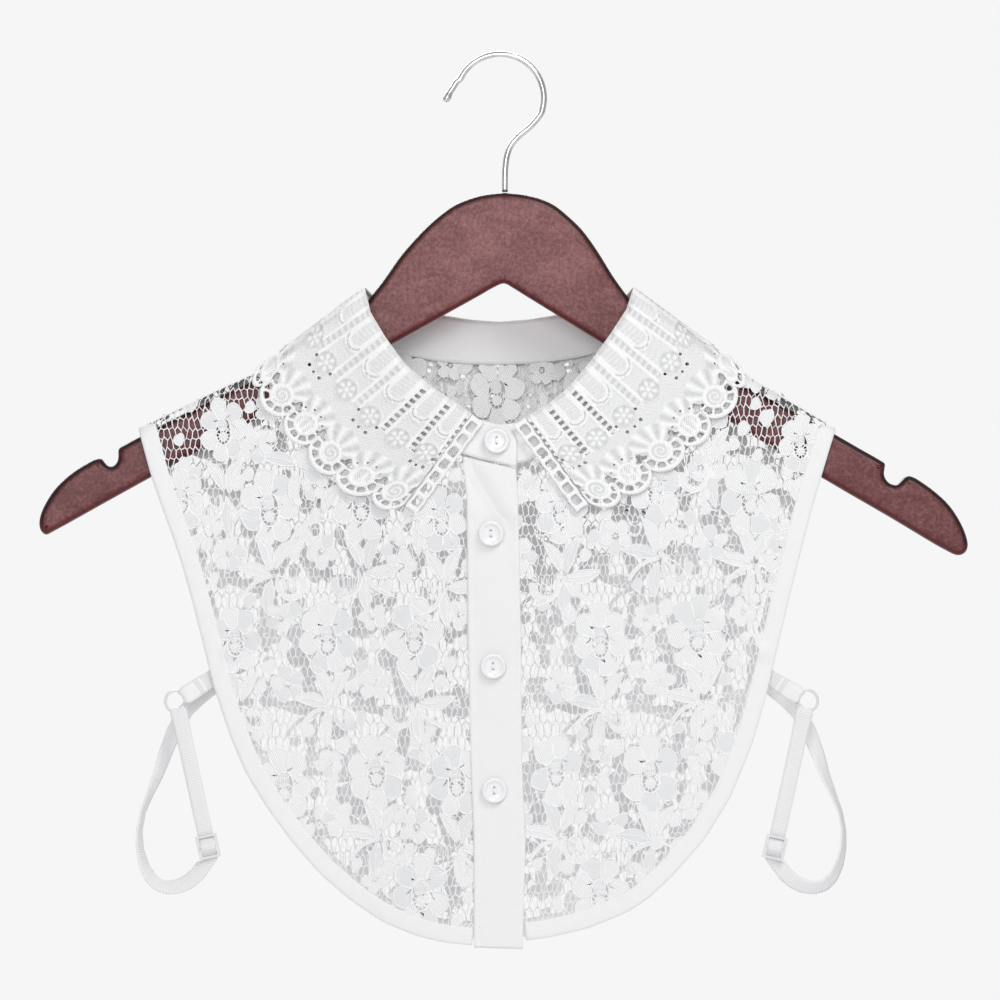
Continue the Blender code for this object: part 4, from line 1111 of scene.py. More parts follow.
def guipure(t, d, long, bulge, wide, turned, whole, shut):
    """Relief in millimetres, cut field and painted shade of the leaf, darker in the relief's lows, grooves
    and shut holes. d is the way from the fold, in units.
    """
    f = t % 1.0
    unit = np.floor(t) + turned
    odd = unit % 2
    x = (f - 0.5) * wide
    k = wide / 36.0
    side = wide / 2 - np.abs(x)
    e = long + bulge - d
    # Painted shade, multiplied into the colour: lower wherever the relief is low, 1 on the cords.
    painted_shade = np.ones(d.shape)
    grain = np.sin(x * 1.45 + d * 0.5) * np.sin(d * 1.5 - x * 0.35)
    high = 0.10 + 0.15 * grain
    painted_shade = painted_shade * 0.90 - 0.12 * np.clip(-grain * 1.6, 0, 1)
    field = np.full(d.shape, 9.0)
    # woven block in a U of two cords
    q = np.where(d < 25, np.abs(x) - 8.2 * k, np.hypot(x, d - 25) - 8.2 * k)
    twill = np.sin((x + d * 0.9) * 1.55) * np.cos((x - d) * 1.3)
    high = np.where(q < 0, 0.22 + 0.17 * twill, high)
    painted_shade = np.where(q < -0.5, 0.90 - 0.12 * (twill < -0.1), painted_shade)
    # Painted shade in the groove beside the U.
    painted_shade = np.where((q > 2.4) & (q < 3.6) & (d < 42), 0.66, painted_shade)
    high = np.where((q > 2.2) & (q < 3.6) & (d < 42), -0.16, high)
    high = np.maximum(high, rope(q - 1.0, 1.6, 0.72))
    high = np.maximum(high, rope(q - 4.9, 1.4, 0.60) * (d < 46))
    painted_shade = np.where((np.abs(q - 1.0) < 1.3) | ((np.abs(q - 4.9) < 1.1) & (d < 46)), 1.0, painted_shade)
    # ladder: two cords with bars between them
    ladder = (d < 66) & (side < 6.2)
    phase = np.abs((d / 6.9 + 0.15) % 1.0 - 0.5)
    high = np.where(ladder, np.maximum(rope(side - 4.6, 1.6, 0.66), np.where(side < 3.4, 0.22, -0.1)), high)
    painted_shade = np.where(ladder, np.where(side < 3.4, 0.88, 1.0), painted_shade)
    rung = np.maximum(side - 2.8, (phase - 0.27) * 6.9)
    rung = np.maximum(rung, np.maximum(4 - d, d - 64))
    # Painted shade where the ladder's holes are left shut over the wood.
    painted_shade = np.where(shut & (rung < 0), 0.70, painted_shade)
    high = np.where(shut & (rung < 0), -0.18, high)
    field = np.minimum(field, np.where(shut, 9.0, rung))
    # rosette with small eyes
    mid = long * 0.50
    r1 = np.hypot(x, d - mid)
    a1 = np.arctan2(x, d - mid)
    petals = 0.5 + 0.5 * np.cos(a1 * 6 + unit)
    near = (r1 < 11) & (d > 38)
    flower = 0.02 + 0.62 * petals * np.exp(-((r1 - 5.8) / 3.0) ** 2) + rope(r1, 2.4, 0.5)
    high = np.where(near, flower, high)
    painted_shade = np.where(near, 0.68 + 0.32 * np.clip(flower * 2.2, 0, 1), painted_shade)
    high = np.maximum(high, rope(r1 - 11.2, 1.4, 0.5) * (d > 42) * (side > 5))
    # rays that spread from the medallion
    dc = long - 9.5
    r = np.hypot(x, d - dc)
    a = np.arctan2(x, d - dc)
    upper = (d < dc + 2) & (r > 12.5) & (r < 30) & (r1 > 12)
    ray = 0.5 + 0.5 * np.cos(a * 11 + odd * 1.5)
    high = np.where(upper, 0.02 + 0.46 * ray ** 1.5, high)
    painted_shade = np.where(upper, 0.72 + 0.28 * ray, painted_shade)
    for n in range(-3, 4):
        w = math.pi + (n + 0.5) * 2 * math.pi / 11
        cx, cy = 16.6 * np.sin(w), 16.6 * np.cos(w)
        pick = round_hole(x, d, cx, dc + cy, 1.25)
        field = np.minimum(field, np.where((odd > 0.5) & upper, pick, 9.0))
    for cx, cy, size in EYELETS:
        field = np.minimum(field, np.where(odd < 0.5, round_hole(x, d, cx * k, mid + cy, size), 9.0))
    high = np.maximum(high, rope(r - 21.5, 1.3, 0.5) * upper)
    # medallion: a curl or a stippled disc, by turns
    curl = (r / 4.4 - a / (2 * math.pi)) % 1.0
    curl = 0.5 + 0.5 * np.cos(2 * math.pi * (curl - 0.5))
    speck = np.clip(np.sin(x * 1.95 + 0.6) * np.sin(d * 1.95) * 1.6, 0, 1)
    inner = np.where(odd > 0.5, 0.30 - 0.45 * speck, 0.62 * curl)
    shade = np.where(odd > 0.5, 1.0 - 0.34 * speck, 0.72 + 0.28 * curl)
    high = np.where(r < 8.8, inner, high)
    painted_shade = np.where(r < 8.8, shade, painted_shade)
    lower = (r > 8.8) & (d > dc - 2) & (r < 24)
    high = np.where(lower, 0.10 + 0.12 * grain, high)
    painted_shade = np.where(lower, 0.92 - 0.12 * (grain < -0.2), painted_shade)
    high = np.maximum(high, rope(r - 10.2, 1.9, 0.75))
    painted_shade = np.where(np.abs(r - 10.2) < 1.5, 1.0, painted_shade)
    # holes in the scallop, then its thick edge
    step = math.radians(37)
    part = np.abs((a / step + 0.5) % 1.0 - 0.5)
    spot = np.hypot(np.maximum(np.abs(r - 15.9) - 1.4, 0), np.maximum((part - 0.16) * 10.3, 0)) - 2.1
    spot = np.maximum(spot, np.abs(a) * 12 - 23)
    spot = np.maximum(spot, 5.0 - e)
    spot = np.maximum(spot, 2.4 - side)
    field = np.minimum(field, spot)
    field = np.minimum(field, np.hypot(side * 0.95, (d - (long - 16.5)) * 0.7) - 3.0)
    bar = (np.abs(r - 15.9) < 4.2) & lower & (part > 0.36)
    high = np.where(bar, 0.40, high)
    painted_shade = np.where(bar, 0.97, painted_shade)
    thread = 0.84 + 0.16 * np.cos(2 * math.pi * (t * 40) / 3.8)
    brim = rope(e - 2.6, 3.2, 0.95) * thread
    painted_shade = np.where(e < 5.2, 0.92 + 0.08 * thread, painted_shade)
    high = np.maximum(high, brim)
    high = np.maximum(high, rope(side, 1.6, 0.55) * (d > long - 11))
    field = np.where(whole, 9.0, field)
    return high, field, np.clip(painted_shade, 0.6, 1.0)


def leaf_off(s):
    out = LEAF_OFF + LEAF_ROLL * np.exp(-((s - 0.1) / 0.2) ** 2)
    return 0.25 + (out - 0.25) * ease(s / 0.05)


def leaf_half(table, where, turned):
    """Middle surface, relief, cut field and painted shade of the leaf's front or back half."""
    count = len(table) - 1
    t = np.linspace(0, count, count * LEAF_COLS + 1)[turned:]
    at = np.arange(len(table))
    fu, fv, eu, ev = (np.interp(t, at, column(table, k)) for k in range(4))
    run = np.stack([eu - fu, ev - fv], axis=1)
    long = np.linalg.norm(run, axis=1)
    run = run / long[:, None]
    bulge = SCALLOP_DEEP * np.abs(np.sin(np.pi * (t % 1.0))) ** 0.62
    s = np.concatenate([[0, 0.008], np.linspace(0.02, 1, LEAF_ROWS - 2)])[:, None]
    d = s * (long + bulge)[None, :]
    share = d / long[None, :]
    mid = where(fu + run[:, 0] * d, fv + run[:, 1] * d, leaf_off(share), LEAF_RIDGE)
    fold_wide = np.hypot(np.diff(column(table, 0)), np.diff(column(table, 1)))
    edge_wide = np.hypot(np.diff(column(table, 2)), np.diff(column(table, 3)))
    cell = np.clip(np.floor(t).astype(int), 0, count - 1)
    wide = fold_wide[cell] + (edge_wide[cell] - fold_wide[cell]) * np.clip(share, 0, 1.1)
    wide = np.maximum(wide, 22)
    at_ridge, over_wood = (t < 0.16, t < 1.2) if turned else (t > count - 0.16, t > 2.9)
    whole = np.broadcast_to(at_ridge[None, :], d.shape) & (d < 90)
    shut = np.broadcast_to(over_wood[None, :], d.shape)
    across = np.broadcast_to(np.minimum(t, count - 1e-6), d.shape)
    high, field, painted_shade = guipure(across, d, long[None, :], bulge[None, :], wide, turned, whole, shut)
    high = np.where(whole, high * 0.35, high)
    rim = np.minimum(d / 1.4, (long + bulge)[None, :] - d + 0.4)
    return mid, high * np.clip(rim, 0.1, 1), field, painted_shade


def ladder_edging(pile, ends, side):
    """Strip with square holes down the front edge of the leaf."""
    u0, v0, u1, v1 = ends
    size = math.hypot(u1 - u0, v1 - v0)
    run = np.array([(u1 - u0) / size, (v1 - v0) / size])
    out = np.array([-run[1], run[0]]) * (-side)
    s = np.linspace(0, 1, 88)[:, None]
    w = np.linspace(-6.8, 6.8, 14)[None, :]
    bead = 0.35 * np.sin(s * 2 * math.pi * EDGING_HOLES)
    u = u0 + run[0] * size * s + out[0] * (w + bead)
    v = v0 + run[1] * size * s + out[1] * (w + bead)
    mid = front(u, v, leaf_off(np.maximum(s, 0.04)) + 0 * w, LEAF_RIDGE)
    pitch = (size - 6) / EDGING_HOLES
    part = np.abs(((s * size - 3) / pitch) % 1.0 - 0.5) * pitch
    cut = np.hypot(np.maximum(np.abs(w) - 2.2, 0), np.maximum(part - 3.2, 0)) - 1.9
    cut = np.where((s * size < 3) | (s * size > size - 3), 2.0, cut)
    twist = 0.84 + 0.16 * np.cos(s * size * 2 * math.pi / 3.4)
    rails = rope(np.abs(w) - 5.3, 2.0, 0.8) * twist
    bars = rope(np.minimum(pitch / 2 - part, 9), 2.6, 0.55) * (np.abs(w) < 5)
    high = np.maximum(rails, bars)
    # Painted shade: lighter on the raised rails and bars, darker in the lows.
    raised_wall(pile, mid, high, cut, np.clip(0.86 + high * 0.25, 0.7, 1.0), 10, 5)


def leaf(name, front_table, back_table, edging_ends, side, nodes):
    pile = Pile()
    halves = zip(leaf_half(front_table, front, 0), leaf_half(back_table, back, 1))
    raised_wall(pile, *(np.concatenate(pair, axis=1) for pair in halves), 10, 20)
    ladder_edging(pile, edging_ends, side)
    return pile.piece(name, [GUIPURE], "guipure", nodes, weld=True)


LEAF_LEFT = leaf("guipure_leaf_left", LEAF_FRONT_LEFT, LEAF_BACK_LEFT, EDGING_LEFT, 1,
                 ["collar_leaf_left", "leaf_edging_left"])
LEAF_RIGHT = leaf("guipure_leaf_right", LEAF_FRONT_RIGHT, LEAF_BACK_RIGHT, EDGING_RIGHT, -1,
                  ["collar_leaf_right", "leaf_edging_right"])


# Plain cotton: bindings, placket, stand


def front_edge(u, v, off=0.0):
    return front(u, v, off, floor=0.6)


def back_edge(u, v, off=0.0):
    return back(u, v, off, floor=0.6)


FINE_PITCH = 0.0021


def stitches(pile, points, out, pitch=0.0022, share=0.62, radius=0.00014, slot=1):
    """Row of stitches along 3-D points, each a short thread that dips in at its ends."""
    step = np.linalg.norm(np.diff(points, axis=0), axis=1)
    at = np.concatenate([[0], np.cumsum(step)])
    count = int(at[-1] / pitch)
    for k in range(count):
        s = (k + 0.5) * pitch + np.array([-0.5, -0.25, 0.25, 0.5]) * pitch * share
        p = np.stack([np.interp(s, at, points[:, c]) for c in range(3)], axis=1)
        n = np.stack([np.interp(s, at, out[:, c]) for c in range(3)], axis=1)
        rise = np.array([-0.00016, 0.00006, 0.00006, -0.00016])
        tube(pile, p + n * rise[:, None], radius, 4, slot)


ACROSS = np.array([0.0, 0.05, 0.16, 0.34, 0.55, 0.74, 0.86, 0.92, 1.0])
PLUMP = np.array([0.12, 0.66, 0.95, 1.0, 0.97, 0.90, 0.70, 0.74, 0.12])


def binding(name, line, side, where, nodes, way):
    """Folded strip over a raw edge, sewn down near its inner side."""
    pile = Pile()
    inner = aside(line, side * BINDING_WIDE)
    uv = line[:, None, :] + (inner - line)[:, None, :] * ACROSS[None, :, None]
    mid = where(uv[..., 0], uv[..., 1])
    n = forward_normals(mid, len(mid) // 2, 4) * -way
    run = np.arange(len(line))[:, None]
    pucker = 0.06 * np.sin(run * 1.1) * np.sin(ACROSS * 3.1)[None, :]
    pucker = pucker + 0.05 * np.sin(run * 0.37 + ACROSS * 5)
    half = 0.95 * PLUMP[None, :] + pucker * (PLUMP > 0.5)
    outer = mid + n * (half * 0.001)[..., None]
    rear = mid - n * (half * 0.00095)[..., None]
    shell(pile, outer, rear)
    stitches(pile, outer[2:-2, 6], n[2:-2, 6])
    stitches(pile, rear[2:-2, 6], -n[2:-2, 6])
    return pile.piece(name, [COTTON, THREAD], "cotton", nodes)


def with_tip(line, count):
    at = np.concatenate([[0, 0.0016, 0.004, 0.008, 0.014, 0.021, 0.03], np.linspace(0.04, 1, count)])
    return spread(line, at)


def to_ridge(line, *ends):
    for at in ends:
        line[at, 1] = ridge_at(line[at, 0])
    return line


def front_strip(edge):
    return to_ridge(with_tip(smooth_line(edge, 60), 190), 0)


BIND_LEFT = binding("bias_front_left", front_strip(EDGE_LEFT), 1, front_edge, ["binding_front_left"], -1)
BIND_RIGHT = binding("bias_front_right", front_strip(EDGE_RIGHT), -1, front_edge, ["binding_front_right"], -1)
EDGE_BACK_LEFT = [EDGE_LEFT[0]] + behind(EDGE_LEFT, BEHIND_SHIFT, FOOT_LEFT)[1:]
EDGE_BACK_RIGHT = [EDGE_RIGHT[0]] + behind(EDGE_RIGHT, -BEHIND_SHIFT, FOOT_RIGHT)[1:]
BACK_LINE = np.concatenate([
    with_tip(smooth_line(EDGE_BACK_LEFT, 60), 180), with_tip(smooth_line(EDGE_BACK_RIGHT, 60), 180)[::-1],
])
BIND_BACK = binding("bias_back", to_ridge(BACK_LINE, 0, -1), 1, back_edge, ["binding_back"], 1)


def placket_soft(u, v):
    """Creases of the placket under the stand and between its buttons."""
    return creases(u, v, PLACKET_CREASES) + 0.35 * np.sin(v / 31 + u / 19) * ease((v - 520) / 80)


PLACKET_ROWS = 150
PLACKET_COLS = 21


def placket(name, inset, off, v_shift, mats, nodes, top_side):
    pile = Pile()
    left = spread(PLACKET_LEFT, PLACKET_ROWS) + (inset, v_shift)
    right = spread(PLACKET_RIGHT, PLACKET_ROWS) + (-inset, v_shift)
    middle = np.linspace(0.18, 0.82, PLACKET_COLS - 10)
    s = np.concatenate([[0, 0.012, 0.035, 0.07, 0.12], middle, [0.88, 0.93, 0.965, 0.988, 1]])
    grid = (1 - s)[None, :, None] * left[:, None, :] + s[None, :, None] * right[:, None, :]
    grid[-1, :, 1] = np.minimum(grid[-1, :, 1], 948)
    u, v = grid[..., 0], grid[..., 1]
    soft = placket_soft(u, v) * top_side
    ridge = 0.30 * np.exp(-((s - 0.045) / 0.03) ** 2) - 0.16 * np.exp(-((s - 0.115) / 0.018) ** 2)
    ridge = ridge - 0.12 * np.exp(-((s - 0.90) / 0.015) ** 2)
    mid = front(u, v, off)
    n = forward_normals(mid, 50, 10)
    round_off = np.sqrt(np.clip(1 - (np.abs(s - 0.5) * 2) ** 40, 0.02, 1))
    outer = mid + n * ((0.52 * round_off + ridge * top_side) * 0.001 + soft * 0.0006)[..., None]
    rear = mid - n * (0.45 * round_off * 0.001)[..., None]
    shell(pile, outer, rear)
    if top_side:
        for c in (4, PLACKET_COLS - 4):
            stitches(pile, outer[2:-3, c] + n[2:-3, c] * 0.00002, n[2:-3, c], FINE_PITCH)
        stitches(pile, outer[-6, 2:-2], n[-6, 2:-2], FINE_PITCH)
    return pile.piece(name, mats, "cotton", nodes)


LAP = placket("placket_over", 0.0, 0.75, 0.0, [SATIN, THREAD], ["placket_lap"], 1.0)
UNDER = placket("placket_beneath", 1.5, -0.75, -1.0, [COTTON, THREAD], ["placket_under"], 0.0)

STAND_FRONT_LEFT = [
    (516.8, 440, 516.2, 467.2, 0.55), (512, 429.5, 506, 465.4, 0.55), (503, 425.5, 495, 462.6, 0.55),
    (487, 423, 477, 458.6, 0.55), (471.5, 416.5, 461, 453.8, 0.5), (461, 411, 449, 447.5, 0.35),
    (449, 405, 436, 439.6, 0.1), (437, 397.5, 421, 428, 0), (425, 388.5, 406, 414.5, 0),
    (412, 378, 391, 398, 0), (401, 367, 379, 382.5, 0), (390, 353.5, 370, 367, 0), (381.5, 340, 363, 352, 0),
    (373, 324, 356, 338, 0), (367.5, 311, 352.5, 328, 0), (366, 301, 350.5, 321, 0),
    (366.5, 293.5, 349, 316, 0),
]
STAND_BACK = [
    (370, 299.5, 354, 322, 0), (377, 302.5, 361, 330, 0), (386, 306.5, 371, 338.5, 0),
    (400, 310, 384, 346, 0), (418, 313.3, 404, 354.5, 0), (440, 316.6, 430, 360, 0),
    (466, 320.4, 459, 363.5, 0), (498, 322.4, 497, 364.6, 0), (530, 320, 533, 362.8, 0),
    (556, 316.2, 566, 359.4, 0), (580, 312.6, 592, 354.2, 0), (599, 309.4, 614, 346, 0),
    (614, 305.5, 628, 337, 0), (623, 302, 638, 329, 0), (629, 298.5, 645, 320.5, 0),
]
STAND_FRONT_RIGHT = [
    (632.5, 294, 650, 313, 0), (633, 301, 648.5, 319, 0), (631.5, 311, 646, 330, 0),
    (626, 325, 640.5, 346, 0), (617, 341.5, 632, 362.5, 0), (606.5, 357, 621, 380, 0),
    (594, 371, 606, 400, 0), (580, 386.5, 589, 418, 0), (566, 400, 573, 432, 0),
    (551, 411.5, 556, 445.5, -0.35), (535, 418.5, 538, 457.5, -0.9), (519, 423, 520.5, 464, -0.95),
    (503, 425, 503, 465, -0.95), (484, 424.5, 484, 460.5, -0.95),
]


STAND_ROWS = 13
STAND_STEPS = 7


def stand():
    pile = Pile()
    s = np.linspace(0, 1, STAND_ROWS)
    columns = []
    for group, where in ((STAND_FRONT_LEFT, front), (STAND_BACK, back), (STAND_FRONT_RIGHT, front)):
        columns += [where(tu + (bu - tu) * s, tv + (bv - tv) * s, off) for tu, tv, bu, bv, off in group]
    known = np.arange(len(columns))
    at = np.linspace(0, known[-1], known[-1] * STAND_STEPS + 1)
    rows = np.stack(columns, axis=1)
    fine = np.stack([[np.interp(at, known, row[:, c]) for c in range(3)] for row in rows])
    fine = eased(fine.transpose(2, 0, 1), 16).transpose(1, 0, 2)
    n = forward_normals(fine, 6, 20)
    s = s[:, None]
    a = np.linspace(0, 1, len(at))[None, :]
    wave = (0.42 * np.sin(a * 47 + s * 3.0) + 0.25 * np.sin(a * 103 - s * 4)) * np.sin(s * 3.1)
    seam = -0.14 * np.exp(-((s - 0.90) / 0.04) ** 2) - 0.10 * np.exp(-((s - 0.09) / 0.04) ** 2)
    edge = np.sqrt(np.clip(1 - np.abs(s * 2 - 1) ** 18, 0.05, 1))
    mid = fine + n * (wave * ease(np.minimum(a, 1 - a) * 14) * 0.001)[..., None]
    half = n * ((0.55 * edge + seam) * 0.001)[..., None]
    outer, rear = mid + half, mid - half
    shell(pile, outer, rear)
    for r in (1, 11):
        stitches(pile, outer[r, 3:-3], n[r, 3:-3], FINE_PITCH)
        stitches(pile, rear[r, 3:-3], -n[r, 3:-3], FINE_PITCH)
    return pile.piece("neck_stand", [COTTON, THREAD], "cotton", ["collar_stand"])


STAND = stand()


# Buttons with two holes, their thread, and a worked buttonhole under each

BUTTONS = [(496.5, 441, 1.7), (491, 533, 1.7), (493, 665, 1.7), (494, 789, 1.7)]
BUTTON_RADIUS = 0.0061
BUTTON_STEPS = 48
HOLE_AT = 0.00125
HOLE_RADIUS = 0.0006
BUTTONHOLE_STITCHES = 26
BUTTONHOLE_ROW = [(0.00015, 0.0), (0.0006, 0.00016), (0.0011, 0.0)]  # aside, above the cloth
BUTTON_PROFILE = [
    (0.0, 0.00150), (0.30, 0.00148), (0.52, 0.00158), (0.62, 0.00178), (0.70, 0.00212), (0.77, 0.00244),
    (0.84, 0.00258), (0.91, 0.00251), (0.965, 0.00222), (0.995, 0.00170), (1.0, 0.00115), (0.975, 0.00070),
    (0.93, 0.00038), (0.86, 0.00018), (0.55, 0.0), (0.0, 0.0),
]


def button(k, u, v, out):
    centre = Vector(front(u, v, out) - (front_soft(np.array(u), np.array(v)) * np.array([0, -0.001, 0])))
    a = Vector(front(u + 6, v, out) - front(u - 6, v, out)).normalized()
    b = Vector(front(u, v - 12, out) - front(u, v + 12, out)).normalized()
    n = a.cross(b).normalized()
    steps = BUTTON_STEPS
    rings = []
    w = np.linspace(0, 2 * math.pi, BUTTON_STEPS, endpoint=False)
    for share, high in BUTTON_PROFILE[1:-1]:
        r = share * BUTTON_RADIUS
        rings.append(np.stack([r * np.cos(w), r * np.sin(w), 0 * w + high], 1))
    rings = np.array(rings)
    rows = len(rings)
    mesh = bpy.data.meshes.new(f"sewn_button_{k}")
    faces = grid_faces(rows, steps, wrap=True).tolist()
    faces += [list(range(steps))[::-1], [(rows - 1) * steps + i for i in range(steps)]]
    mesh.from_pydata(rings.reshape(-1, 3).tolist(), [], faces)
    mesh.update()
    body = bpy.data.objects.new(f"sewn_button_{k}", mesh)
    bpy.context.scene.collection.objects.link(body)
    shell_mesh = bmesh.new()
    shell_mesh.from_mesh(mesh)
    bmesh.ops.recalc_face_normals(shell_mesh, faces=shell_mesh.faces[:])
    shell_mesh.to_mesh(mesh)
    shell_mesh.free()
    cutters = []
    for y in (-HOLE_AT, HOLE_AT):
        bpy.ops.mesh.primitive_cylinder_add(vertices=20, radius=HOLE_RADIUS, depth=0.01, location=(0, y, 0))
        cutter = bpy.context.object
        cut = body.modifiers.new("hole", "BOOLEAN")
        cut.operation = "DIFFERENCE"
        cut.object = cutter
        cutters.append(cutter)
    bpy.context.view_layer.update()
    drilled = bpy.data.meshes.new_from_object(body.evaluated_get(bpy.context.evaluated_depsgraph_get()))
    body.modifiers.clear()
    for cutter in cutters:
        bpy.data.objects.remove(cutter)
    body.data = drilled
    drilled.materials.clear()
    drilled.materials.append(BUTTON_MAT)
    drilled.polygons.foreach_set("use_smooth", np.full(len(drilled.polygons), True))
    across = b.cross(n)
    turn_to = Matrix((across, b, n)).transposed().to_4x4()
    turn_to.translation = centre
    drilled.transform(turn_to)
    sharp = body.modifiers.new("weighted", "WEIGHTED_NORMAL")
    sharp.keep_sharp = True
    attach(body, "root")
    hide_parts(f"button_{k}")
    sew = Pile()
    for dx in (-0.00018, 0.00018):
        ys = np.linspace(-0.0013, 0.0013, 7)
        arc = [(dx, y, 0.00165 + 0.00035 * math.cos(y / HOLE_AT * 1.5)) for y in ys]
        points = np.array([turn_to @ Vector(p) for p in arc])
        tube(sew, points, 0.00020, 6, 0, up=tuple(n))
    # worked buttonhole, under the button and below it
    for i in range(BUTTONHOLE_STITCHES):
        y = -0.0010 - 0.00030 * i - 0.0052
        for dx in (-1, 1):
            p = np.array([turn_to @ Vector((x * dx, y, -0.00105 + h)) for x, h in BUTTONHOLE_ROW])
            tube(sew, p, 0.00012, 4, 0, up=tuple(n))
    sew.piece(f"button_thread_{k}", [THREAD], "cotton", [])


for k, (u, v, out) in enumerate(BUTTONS):
    button(k + 1, u, v, out)


# Side straps: tab, ring, elastic and slider

STRAPS = [  # side, ring u, ring v, tab end u, tab end v, slider u, slider v
    (1, 177.0, 701.0, 219.0, 673.5, 208.5, 846.0), (-1, 806.3, 700.5, 763.0, 673.5, 774.5, 847.0),
]
LONG_STRAP = [  # units away from the slider, v, y in millimetres, tilt of the band in degrees
    (5.0, 866, -5.2, 0), (11, 874, -4.7, -4), (19, 881, -4.2, -10), (29, 885.8, -3.6, -18),
    (40, 887.2, -2.9, -26), (50, 884.6, -2.2, -34), (58, 877.5, -1.5, -43), (64.5, 865, -0.6, -54),
    (68.8, 848, 0.4, -65), (69.2, 830, 1.4, -71), (65.8, 812, 2.2, -72), (59.5, 796, 2.8, -66),
    (51, 776, 3.4, -52),
    (43.5, 754, 3.8, -32), (35, 732, 4.3, -12), (24, 712, 4.7, 0), (11, 699, 5.0, 0), (0, 690, 5.2, 0),
    (-11, 682, 5.3, 0),
]
RING_Y = -0.0068
BEHIND = 0.0021
RING_MID = 0.0052
RING_WIRE = 0.00072
STRAP_WIDE = 0.0074
TAB_WIDE = 0.0078
SEAM = 0.0003
WEBBING = 0.0010
TACK_DEEP = 0.42
TAB_TACKS = ((0.04, 0.30), (0.37, 0.43))  # shares of the tab's length
RIB_STEP = 0.0006


def hard(where, u, v):
    """Depth of the plain form, without its small creases."""
    soft = front_soft if where is front else back_soft
    p = where(u, v)
    sign = 1 if where is front else -1
    return float(p[1]) + sign * 0.001 * float(soft(np.array(u), np.array(v)))


def rails_at_ring(centre, angle, wide, stations):
    out = []
    d = np.array([math.cos(angle), math.sin(angle)])
    e = np.array([-d[1], d[0]])
    across = np.linspace(-wide / 2, wide / 2, 7)
    for rho, y in stations:
        row = []
        curl = 1 - float(ease((rho - 0.0060) / 0.004))
        for w in across:
            bent = np.array([math.cos(angle + w / RING_MID), math.sin(angle + w / RING_MID)]) * rho
            flat = d * rho + e * w
            p = bent * curl + flat * (1 - curl)
            row.append((centre[0] + p[0], centre[1] + y, centre[2] + p[1]))
        out.append(row)
    return out


def webbing(name, rails, nodes, rib, mat, tacks=()):
    """Woven strip, its cross ribs modelled along the run, with painted shade darkening its sunken rows. Rows
    of a tack stand out like ribs.
    """
    rails = np.asarray(rails, float)
    mid = rails[:, 3]
    step = np.linalg.norm(np.diff(mid, axis=0), axis=1)
    at = np.concatenate([[0], np.cumsum(step)])
    count = int(at[-1] / RIB_STEP)
    want = np.linspace(0, at[-1], count)
    fine = np.stack([[np.interp(want, at, rails[:, k, c]) for c in range(3)] for k in range(7)])
    fine = eased(fine.transpose(2, 0, 1), 3)
    n = grid_normals(fine)
    deep = np.full(count, rib)
    for low, high in tacks:
        deep[int(low * count):int(high * count)] = TACK_DEEP
    odd = np.arange(count) % 2
    wave = 1 + deep[:, None] * (1 - 2 * odd)[:, None]
    edge = np.array([0.45, 0.95, 1.0, 1.0, 1.0, 0.95, 0.45])[None, :]
    half = WEBBING * 0.47 * wave * edge
    # Painted shade: the sunken odd rows, deeper at the tacks, are painted darker.
    rib_painted_shade = 1 - 0.5 * (deep * odd)[:, None] * np.array([0.4, 1, 1, 1, 1, 1, 0.4])[None, :]
    pile = Pile()
    shell(pile, fine + n * half[..., None], fine - n * half[..., None], painted_shade=np.tile(rib_painted_shade.ravel(), 2))
    return pile.piece(name, [mat], "elastic", nodes)


